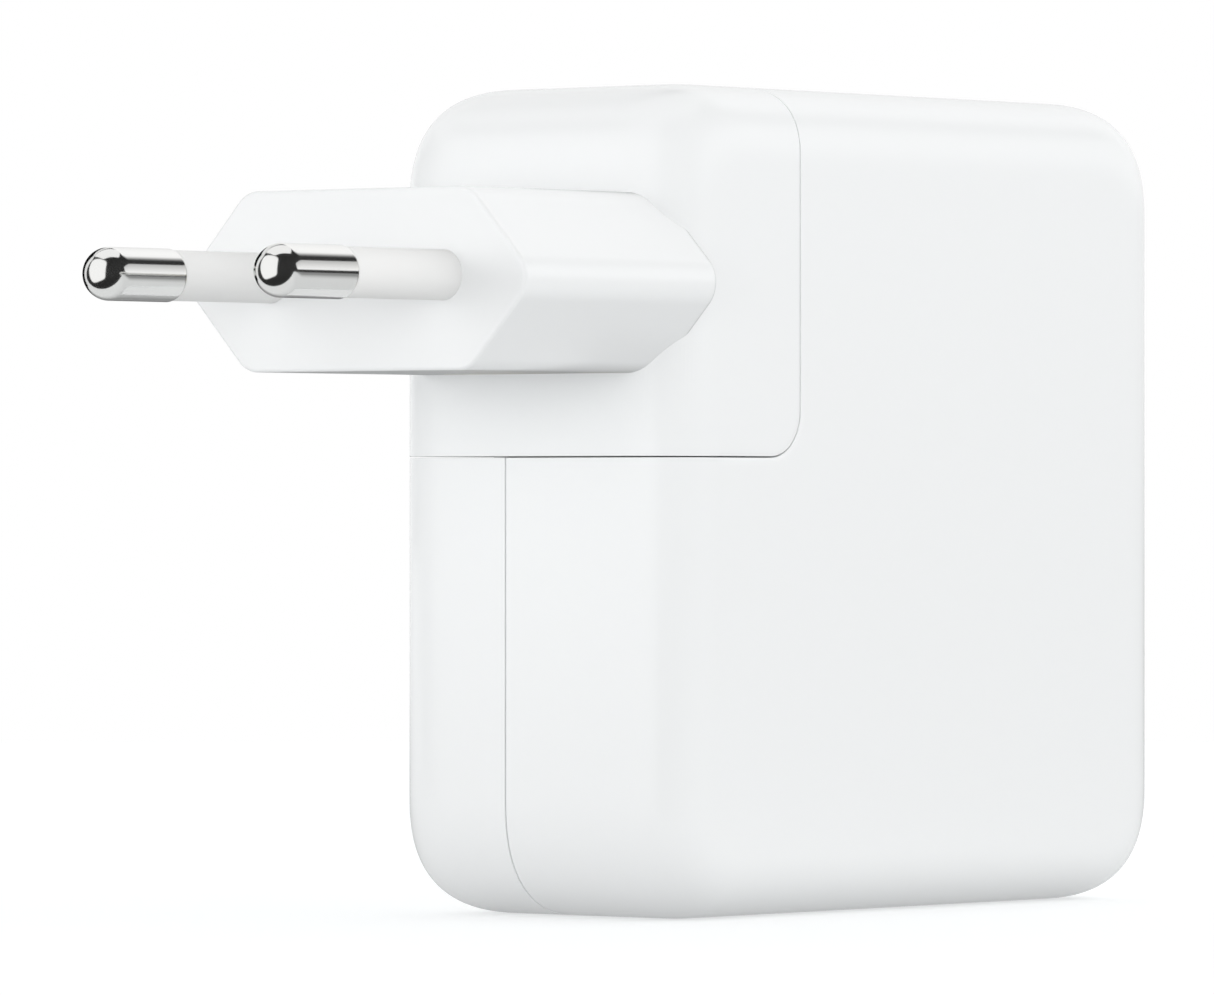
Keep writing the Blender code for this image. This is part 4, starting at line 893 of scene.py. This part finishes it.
def blend(tree, factor, first, second):
    """A blend of two plain numbers."""
    return add_node(tree, "ShaderNodeMix", None, {0: factor, 2: first, 3: second}).outputs[0]


def own_place(tree):
    """Object coordinates."""
    return add_node(tree, "ShaderNodeTexCoord").outputs["Object"]


def bands(tree, direction, scale):
    """Waves in bands across one direction, on Object coordinates."""
    settings = {"wave_type": "BANDS", "bands_direction": direction}
    inputs = {"Vector": own_place(tree), "Scale": scale}
    return add_node(tree, "ShaderNodeTexWave", settings, inputs).outputs["Fac"]


def ramp(tree, value, low, high, to_low, to_high, smooth=False):
    """The value carried from one range to another, and held at its ends."""
    settings = {"interpolation_type": "SMOOTHSTEP" if smooth else "LINEAR"}
    inputs = {"Value": value, "From Min": low, "From Max": high, "To Min": to_low, "To Max": to_high}
    return add_node(tree, "ShaderNodeMapRange", settings, inputs).outputs["Result"]


def noise(tree, scale, detail=2.0, stretch=(1.0, 1.0, 1.0)):
    """Noise on Object coordinates, in grains per metre."""
    inputs = {"Vector": own_place(tree), "Scale": stretch}
    place = add_node(tree, "ShaderNodeMapping", None, inputs).outputs[0]
    inputs = {"Vector": place, "Scale": scale, "Detail": detail}
    return add_node(tree, "ShaderNodeTexNoise", None, inputs).outputs["Fac"]


def mixed(tree, factor, first, second):
    """A blend of two plain colours."""
    made = add_node(tree, "ShaderNodeMix", {"data_type": "RGBA"}, {"Factor": factor})
    made.inputs[6].default_value = (*first, 1.0)
    made.inputs[7].default_value = (*second, 1.0)
    return made.outputs[2]


def shaded(colour, share):
    return tuple(channel * share for channel in colour)


class Finish:
    """A material in the making: its tree and its one shader."""

    def __init__(self, name, roughness, metallic=0.0):
        self.material = bpy.data.materials.new(name)
        self.material.use_nodes = True
        self.tree = self.material.node_tree
        self.shader = self.tree.nodes["Principled BSDF"]
        self.shader.inputs["Metallic"].default_value = metallic
        self.shader.inputs["Roughness"].default_value = roughness

    def colours(self, factor, first, second):
        self.tree.links.new(mixed(self.tree, factor, first, second), self.shader.inputs["Base Color"])

    def rough(self, value, low, high):
        spread = ramp(self.tree, value, 0.3, 0.7, low, high)
        self.tree.links.new(spread, self.shader.inputs["Roughness"])

    def bump(self, height, strength, distance):
        inputs = {"Height": height, "Strength": strength, "Distance": distance}
        made = add_node(self.tree, "ShaderNodeBump", None, inputs)
        self.tree.links.new(made.outputs[0], self.shader.inputs["Normal"])


def gloss_white(name, colour):
    """Polished white polycarbonate: clear gloss, with faint haze and moulding ripple."""
    finish = Finish(name, 0.08)
    finish.shader.inputs["IOR"].default_value = 1.58
    finish.colours(noise(finish.tree, 35.0), shaded(colour, 0.992), colour)
    finish.rough(noise(finish.tree, 90.0, 4.0), 0.07, 0.10)
    finish.bump(noise(finish.tree, 450.0, 1.0), 0.04, 0.00002)
    return finish.material


def satin_white(name, colour, roughness):
    """Plain moulded white with a fine texture."""
    finish = Finish(name, roughness)
    finish.colours(noise(finish.tree, 120.0), shaded(colour, 0.975), colour)
    finish.rough(noise(finish.tree, 700.0, 3.0), roughness - 0.05, roughness + 0.05)
    finish.bump(noise(finish.tree, 4000.0, 3.0), 0.10, 0.00002)
    return finish.material


def bright_metal(name, colour, roughness, stretch, dull):
    """Plated or rolled metal: fine lines across one direction and a slightly uneven polish."""
    finish = Finish(name, roughness, 1.0)
    finish.colours(noise(finish.tree, 260.0, 3.0), shaded(colour, dull), colour)
    finish.rough(noise(finish.tree, 300.0, 4.0), roughness * 0.8, roughness * 1.3)
    finish.bump(noise(finish.tree, 900.0, 3.0, stretch), 0.05, 0.00001)
    return finish.material


def black_moulding(name, colour):
    """Black moulded insulation with a fine eroded texture."""
    finish = Finish(name, 0.45)
    finish.colours(noise(finish.tree, 300.0, 3.0), shaded(colour, 0.8), shaded(colour, 1.3))
    finish.rough(noise(finish.tree, 1500.0, 3.0), 0.38, 0.52)
    finish.bump(noise(finish.tree, 5000.0, 3.0), 0.25, 0.00004)
    return finish.material


def board_laminate(name, colour):
    """Green solder mask over glass cloth: a faint weave, and lighter tracks under the mask."""
    finish = Finish(name, 0.38)
    tree = finish.tree
    inputs = {"Vector": own_place(tree), "Scale": 260.0}
    cells = add_node(tree, "ShaderNodeTexVoronoi", {"distance": "MANHATTAN"}, inputs)
    tracks = ramp(tree, cells.outputs["Distance"], 0.42, 0.47, 0.0, 1.0)
    finish.colours(tracks, colour, shaded(colour, 1.7))
    finish.bump(maths(tree, "ADD", bands(tree, "DIAGONAL", 900.0), tracks), 0.15, 0.00005)
    return finish.material


def amber_film(name, colour):
    """Amber insulating film, glossy and a little wavy."""
    finish = Finish(name, 0.28)
    finish.colours(noise(finish.tree, 70.0), shaded(colour, 0.85), shaded(colour, 1.1))
    finish.bump(noise(finish.tree, 160.0), 0.25, 0.0002)
    return finish.material


def can_sleeve(name, colour):
    """The shrunk sleeve of a capacitor can, with faint ripples round it."""
    finish = Finish(name, 0.32)
    finish.colours(noise(finish.tree, 200.0), shaded(colour, 0.8), shaded(colour, 1.2))
    finish.bump(noise(finish.tree, 500.0, 2.0, (1.0, 5.0, 1.0)), 0.15, 0.00005)
    return finish.material


def dipped(name, colour, grain, roughness):
    """A potted, dipped or sintered body with speckle and an uneven skin."""
    finish = Finish(name, roughness)
    finish.colours(noise(finish.tree, grain, 4.0), shaded(colour, 0.85), shaded(colour, 1.15))
    finish.rough(noise(finish.tree, grain * 2, 3.0), roughness - 0.06, roughness + 0.08)
    finish.bump(noise(finish.tree, grain, 2.0), 0.2, 0.0001)
    return finish.material


def wound_copper(name, colour):
    """Enamelled copper laid turn by turn as a winding: bands along the winding, each one rounded, and
    painted shade that darkens the colour to half in the grooves between turns.
    """
    finish = Finish(name, 0.30, 0.8)
    turns_and_groove_shade = bands(finish.tree, "Z", 600.0)
    # The colour falls to half where the bands' bump dips: painted shade in the grooves between turns.
    finish.colours(turns_and_groove_shade, shaded(colour, 0.5), colour)
    finish.bump(turns_and_groove_shade, 0.8, 0.0002)
    return finish.material


def make_finish(slot):
    """The procedural material of one record slot."""
    finish = bpy.context.scene.adapter_finish
    colour = SLOT_COLOUR[slot]
    lengthwise = (0.05, 1.0, 1.0)
    makers = {
        "housing_white": lambda: gloss_white(slot, finish.housing),
        "plug_white": lambda: gloss_white(slot, finish.plug),
        "sleeve_white": lambda: satin_white(slot, finish.sleeve, 0.16),
        "inner_white": lambda: satin_white(slot, colour, 0.45),
        "nickel_plate": lambda: bright_metal(slot, finish.nickel, 0.055, (8.0, 1.0, 1.0), 0.96),
        "stainless_steel": lambda: bright_metal(slot, finish.steel, 0.22, lengthwise, 0.90),
        "contact_brass": lambda: bright_metal(slot, finish.brass, 0.25, lengthwise, 0.88),
        "black_moulding": lambda: black_moulding(slot, colour),
        "board_laminate": lambda: board_laminate(slot, colour),
        "aluminium_sheet": lambda: bright_metal(slot, colour, 0.32, lengthwise, 0.90),
        "insulating_film": lambda: amber_film(slot, colour),
        "capacitor_can": lambda: can_sleeve(slot, colour),
        "film_case": lambda: dipped(slot, colour, 300.0, 0.42),
        "ceramic_disc": lambda: dipped(slot, colour, 180.0, 0.35),
        "fuse_ceramic": lambda: dipped(slot, colour, 400.0, 0.30),
        "ferrite_core": lambda: dipped(slot, colour, 900.0, 0.60),
        "copper_winding": lambda: wound_copper(slot, colour),
    }
    return makers[slot]()


def finish_for(slot):
    return bpy.data.materials.get(slot) or make_finish(slot)


def dress_inner_parts():
    """Every CAD node that still shows wears its slot's finish."""
    for name, node in frame["nodes"].items():
        if not node.hide_render:
            node.data.materials.clear()
            node.data.materials.append(finish_for(SLOT_OF_NODE[name]))


# ---------------------------------------------------------------------------------------------------
# Stage
# ---------------------------------------------------------------------------------------------------


def seen_directly(tree):
    """1 for camera and transmission rays, which see the plain white backdrop."""
    path = add_node(tree, "ShaderNodeLightPath")
    return maths(tree, "MAXIMUM", path.outputs["Is Camera Ray"], path.outputs["Is Transmission Ray"])


def empty_material(name):
    """A new material and its node tree, with no nodes in it yet."""
    made = bpy.data.materials.new(name)
    made.use_nodes = True
    made.node_tree.nodes.clear()
    return made, made.node_tree


# What mirrors see of the floor: its glow from one place to another, in metres along X or Y
GLOW_RIGHT = (0.03, 0.12, 0.85, 0.32)
LOSS_ALONG = (-0.06, -0.03, 0.0, 1.0)
LOSS_BEHIND = (-0.005, 0.045, 0.1, 0.63)
MIRROR_EDGE_WAY = (0.985, 0.170)

# The floor's thickness, the share of its paint that scatters light, and its extra light under the pins
FLOOR_THICKNESS = 0.002
PAINT_SHARE = 0.45
PINS_SIDE = (-0.07, -0.02)
PINS_SIDE_FILL = 0.04


def floor():
    """A round white floor that keeps the object's shadow. Camera and mirrors see it glow.

    The light that it throws back up is partly its own, so the shadowed strip under the object's edges
    stays pale. Mirrors see it fade towards the right and behind the housing, and see past it on the
    camera's side.
    """
    settings = bpy.context.scene.adapter_stage
    rows = across("Z", [-FLOOR_THICKNESS, 0.0], circle([settings.floor_radius] * 2))
    made = skin("floor", rows)
    finish, tree = empty_material("floor_white")
    mirrors = add_node(tree, "ShaderNodeLightPath").outputs["Is Glossy Ray"]
    x, y, _ = add_node(tree, "ShaderNodeSeparateXYZ", None, {0: own_place(tree)}).outputs
    behind = times(tree, ramp(tree, x, *LOSS_ALONG), ramp(tree, y, *LOSS_BEHIND))
    fade = times(tree, ramp(tree, x, *GLOW_RIGHT), maths(tree, "SUBTRACT", 1.0, behind))
    fade = blend(tree, mirrors, 1.0, fade)
    seen = maths(tree, "MAXIMUM", seen_directly(tree), mirrors)
    share = blend(tree, seen, PAINT_SHARE, fade)
    paint = mixed(tree, share, (0.0, 0.0, 0.0), settings.floor_colour)
    paint = add_node(tree, "ShaderNodeBsdfDiffuse", None, {"Color": paint})
    fill = settings.floor_fill
    own = ramp(tree, x, *PINS_SIDE, fill + PINS_SIDE_FILL, fill)
    glow = blend(tree, seen, own, times(tree, fade, settings.floor_glow))
    glow = add_node(tree, "ShaderNodeEmission", None, {"Strength": glow})
    both = add_node(tree, "ShaderNodeAddShader", None, {0: paint.outputs[0], 1: glow.outputs[0]})
    edge = [times(tree, place, way) for place, way in zip((x, y), MIRROR_EDGE_WAY)]
    edge = maths(tree, "ADD", *edge)
    past = times(tree, mirrors, maths(tree, "LESS_THAN", edge, -settings.mirror_edge))
    clear = add_node(tree, "ShaderNodeBsdfTransparent")
    shaders = {0: past, 1: both.outputs[0], 2: clear.outputs[0]}
    whole = add_node(tree, "ShaderNodeMixShader", None, shaders)
    add_node(tree, "ShaderNodeOutputMaterial", None, {"Surface": whole.outputs[0]})
    made.data.materials.append(finish)


# The card's foot point, its turn and rise in degrees, its distance and half sizes in metres
CARD_FROM = (-0.048, 0.0, PIN_Z)
CARD_AZIMUTH, CARD_ELEVATION = 90.0, 8.0
CARD_DISTANCE, CARD_HALF_WIDTH, CARD_HALF_HEIGHT = 0.060, 0.022, 0.030


def black_card():
    """A black card behind the pins that only mirrors see. It draws the dark rim of their round tips."""
    around, up = math.radians(CARD_AZIMUTH), math.radians(CARD_ELEVATION)
    out = np.array([math.cos(around), math.sin(around), 0.0])
    aside = np.array([-math.sin(around), math.cos(around), 0.0])
    ahead = out * math.cos(up) + (0.0, 0.0, math.sin(up))
    rise = np.cross(ahead, aside) * CARD_HALF_HEIGHT
    aside *= CARD_HALF_WIDTH
    centre = np.array(CARD_FROM) + ahead * CARD_DISTANCE
    corners = [centre + a * aside + r * rise for a, r in ((-1, -1), (1, -1), (1, 1), (-1, 1))]
    made = mesh_object("flag_behind", np.array(corners), np.array([[0, 1, 2, 3]]))
    finish, tree = empty_material("flag_black")
    black = add_node(tree, "ShaderNodeEmission", None, {"Strength": 0.0})
    add_node(tree, "ShaderNodeOutputMaterial", None, {"Surface": black.outputs[0]})
    made.data.materials.append(finish)
    for ray in ("camera", "diffuse", "shadow", "transmission"):
        setattr(made, f"visible_{ray}", False)


# Panels that mirrors see: azimuth, elevation, roll, half width and half height, in degrees
PANEL_PINS_SIDE = (165.0, 13.0, 8.0, 40.0, 44.0)
PANEL_BESIDE_CAMERA = (-38.0, 15.0, 0.0, 28.0, 12.5)
PANEL_OVERHEAD = (60.0, 78.0, 0.0, 31.0, 28.0)
PANEL_BEHIND = (75.0, 12.0, 0.0, 33.0, 35.0)
PANEL_SQUARENESS = 6.0
PANEL_EDGE = (0.80, 1.20)

# Each range below reads: from low, from high, to low, to high
BESIDE_CAMERA_RISE = (0.04, 0.42, 1.15, 0.65)
BACKDROP_START = (0.60, 0.63, 0.0, 1.0)
BACKDROP_TURN = (-0.44, -0.07, 0.0, 1.0)
BACKDROP_RISE = (0.15, 0.66, 0.82, 1.15)
HORIZON = (-0.01, 0.01, 0.0, 1.0)
LOW_LIGHT_HEIGHT = 0.35
UNLIT_MIRROR = 0.025


def soft_box(tree, direction, azimuth, elevation, roll, half_width, half_height):
    """1 inside a flat panel seen in this direction, in degrees, and 0 outside, with rounded corners.

    The direction is turned back until the panel lies ahead on +X. With a = y / x and b = z / x as
    shares of the panel's half width and half height, its edge is where a^6 + b^6 = 1.
    """
    rotation = tuple(math.radians(part) for part in (roll, -elevation, azimuth))
    settings = {"rotation_type": "EULER_XYZ", "invert": True}
    inputs = {"Vector": direction, "Rotation": rotation}
    ahead = add_node(tree, "ShaderNodeVectorRotate", settings, inputs)
    parts = add_node(tree, "ShaderNodeSeparateXYZ", None, {0: ahead.outputs[0]}).outputs
    shares = []
    for part, half in (("Y", half_width), ("Z", half_height)):
        place = maths(tree, "ABSOLUTE", maths(tree, "DIVIDE", parts[part], parts["X"]))
        place = maths(tree, "DIVIDE", place, math.tan(math.radians(half)))
        shares.append(maths(tree, "POWER", place, PANEL_SQUARENESS))
    inside = ramp(tree, maths(tree, "ADD", *shares), *PANEL_EDGE, 1.0, 0.0, True)
    return times(tree, inside, maths(tree, "GREATER_THAN", parts["X"], 0.0))


def studio_light():
    """A white backdrop, soft boxes that only mirrors see, and a soft dome that lights the object."""
    settings = bpy.context.scene.adapter_stage
    world = bpy.data.worlds.new("studio")
    world.use_nodes = True
    bpy.context.scene.world = world
    tree = world.node_tree
    tree.nodes.clear()
    direction = add_node(tree, "ShaderNodeTexCoord").outputs["Generated"]
    parts = add_node(tree, "ShaderNodeSeparateXYZ", None, {0: direction}).outputs
    height = parts["Z"]
    away = times(tree, parts["X"], -1.0)
    from_pins = maths(tree, "MAXIMUM", away, 0.0)
    overhead = times(tree, maths(tree, "MAXIMUM", height, 0.0), settings.zenith)
    dome_light = maths(tree, "ADD", overhead, times(tree, away, settings.key))
    dome_light = maths(tree, "ADD", dome_light, settings.sky)
    held_back = times(tree, height, settings.high_left, from_pins)
    dome_light = maths(tree, "SUBTRACT", dome_light, held_back)
    above = ramp(tree, height, *HORIZON)
    dome_light = blend(tree, above, settings.below, dome_light)
    low = maths(tree, "ABSOLUTE", height)
    low = ramp(tree, low, 0.0, LOW_LIGHT_HEIGHT, settings.low_left, 0.0, True)
    dome_light = maths(tree, "ADD", dome_light, times(tree, low, from_pins, from_pins))
    azimuth = maths(tree, "ARCTAN2", parts["Y"], parts["X"])
    backdrop = times(tree, ramp(tree, parts["X"], *BACKDROP_START, True), above)
    backdrop = times(tree, backdrop, ramp(tree, azimuth, *BACKDROP_TURN, True))
    panels = [
        (soft_box(tree, direction, *PANEL_PINS_SIDE), 1.10),
        (soft_box(tree, direction, *PANEL_BESIDE_CAMERA), ramp(tree, height, *BESIDE_CAMERA_RISE)),
        (soft_box(tree, direction, *PANEL_OVERHEAD), 1.05),
        (soft_box(tree, direction, *PANEL_BEHIND), 0.90),
        (backdrop, ramp(tree, height, *BACKDROP_RISE)),
    ]
    mirrored = UNLIT_MIRROR
    for inside, strength in panels:
        lit = times(tree, inside, strength, settings.panel)
        mirrored = maths(tree, "MAXIMUM", mirrored, lit)
    glossy = add_node(tree, "ShaderNodeLightPath").outputs["Is Glossy Ray"]
    light = blend(tree, glossy, dome_light, mirrored)
    light = blend(tree, seen_directly(tree), light, 1.0)
    white = (1.0, 1.0, 1.0, 1.0)
    sky = add_node(tree, "ShaderNodeBackground", None, {"Color": white, "Strength": light})
    add_node(tree, "ShaderNodeOutputWorld", None, {"Surface": sky.outputs[0]})


def camera():
    """A long lens at the photograph's angle, level with the middle of the housing."""
    settings = bpy.context.scene.adapter_stage
    lens = bpy.data.cameras.new("camera")
    lens.lens = settings.lens
    made = bpy.data.objects.new("camera", lens)
    made.location = settings.camera_place
    made.rotation_euler = (math.pi / 2, 0.0, -settings.camera_turn)
    bpy.context.scene.collection.objects.link(made)
    bpy.context.scene.camera = made


# ---------------------------------------------------------------------------------------------------
# Operators, panel and registration
# ---------------------------------------------------------------------------------------------------


class ADAPTER_OT_stage(bpy.types.Operator):
    """Make the camera, the floor and the soft studio light"""

    bl_idname = "adapter.stage"
    bl_label = "Stage"

    def execute(self, context):
        camera()
        floor()
        black_card()
        studio_light()
        context.scene.view_settings.view_transform = "Standard"
        return {"FINISHED"}


class ADAPTER_OT_housing(bpy.types.Operator):
    """Make the two halves of the housing"""

    bl_idname = "adapter.housing"
    bl_label = "Housing"

    def execute(self, context):
        front_shell()
        back_shell()
        return {"FINISHED"}


class ADAPTER_OT_plug_head(bpy.types.Operator):
    """Make the plug head's moulding, cover and connector"""

    bl_idname = "adapter.plug_head"
    bl_label = "Plug head"

    def execute(self, context):
        plug_head_shell()
        plug_head_cover()
        plug_connector()
        return {"FINISHED"}


class ADAPTER_OT_mains_pins(bpy.types.Operator):
    """Make the mains pins and their sleeves"""

    bl_idname = "adapter.mains_pins"
    bl_label = "Mains pins"

    def execute(self, context):
        for where, side in SIDES:
            mains_pin(where, side)
            pin_sleeve(where, side)
        return {"FINISHED"}


class ADAPTER_OT_notch_parts(bpy.types.Operator):
    """Make the guide stud and the inlet's pins in the notch"""

    bl_idname = "adapter.notch_parts"
    bl_label = "Stud and inlet pins"

    def execute(self, context):
        retaining_stud()
        inlet_pins()
        return {"FINISHED"}


class ADAPTER_OT_output_socket(bpy.types.Operator):
    """Make the output socket's shell, tongue and contacts"""

    bl_idname = "adapter.output_socket"
    bl_label = "Output socket"

    def execute(self, context):
        socket_shell()
        socket_tongue()
        socket_contacts()
        return {"FINISHED"}


class ADAPTER_OT_inner_parts(bpy.types.Operator):
    """Give every remaining inner part its finish"""

    bl_idname = "adapter.inner_parts"
    bl_label = "Inner parts"

    def execute(self, context):
        dress_inner_parts()
        return {"FINISHED"}


STEPS = (
    ADAPTER_OT_stage,
    ADAPTER_OT_housing,
    ADAPTER_OT_plug_head,
    ADAPTER_OT_mains_pins,
    ADAPTER_OT_notch_parts,
    ADAPTER_OT_output_socket,
    ADAPTER_OT_inner_parts,
)


class ADAPTER_PT_panel(bpy.types.Panel):
    """The steps and settings in the 3D view's sidebar"""

    bl_label = "Power adapter"
    bl_idname = "ADAPTER_PT_panel"
    bl_space_type = "VIEW_3D"
    bl_region_type = "UI"
    bl_category = "Adapter"

    def draw(self, context):
        for step in STEPS:
            self.layout.operator(step.bl_idname)
        for name, kind in SETTINGS.items():
            box = self.layout.box()
            for key in kind.__annotations__:
                box.prop(getattr(context.scene, name), key)


CLASSES = (*SETTINGS.values(), *STEPS, ADAPTER_PT_panel)


def register():
    for item in CLASSES:
        bpy.utils.register_class(item)
    for name, kind in SETTINGS.items():
        setattr(bpy.types.Scene, name, PointerProperty(type=kind))


def unregister():
    for name in SETTINGS:
        delattr(bpy.types.Scene, name)
    for item in reversed(CLASSES):
        bpy.utils.unregister_class(item)


def main():
    register()
    bpy.ops.adapter.stage()
    bpy.ops.adapter.housing()
    bpy.ops.adapter.plug_head()
    bpy.ops.adapter.mains_pins()
    bpy.ops.adapter.notch_parts()
    bpy.ops.adapter.output_socket()
    bpy.ops.adapter.inner_parts()


if __name__ == "__main__":
    main()
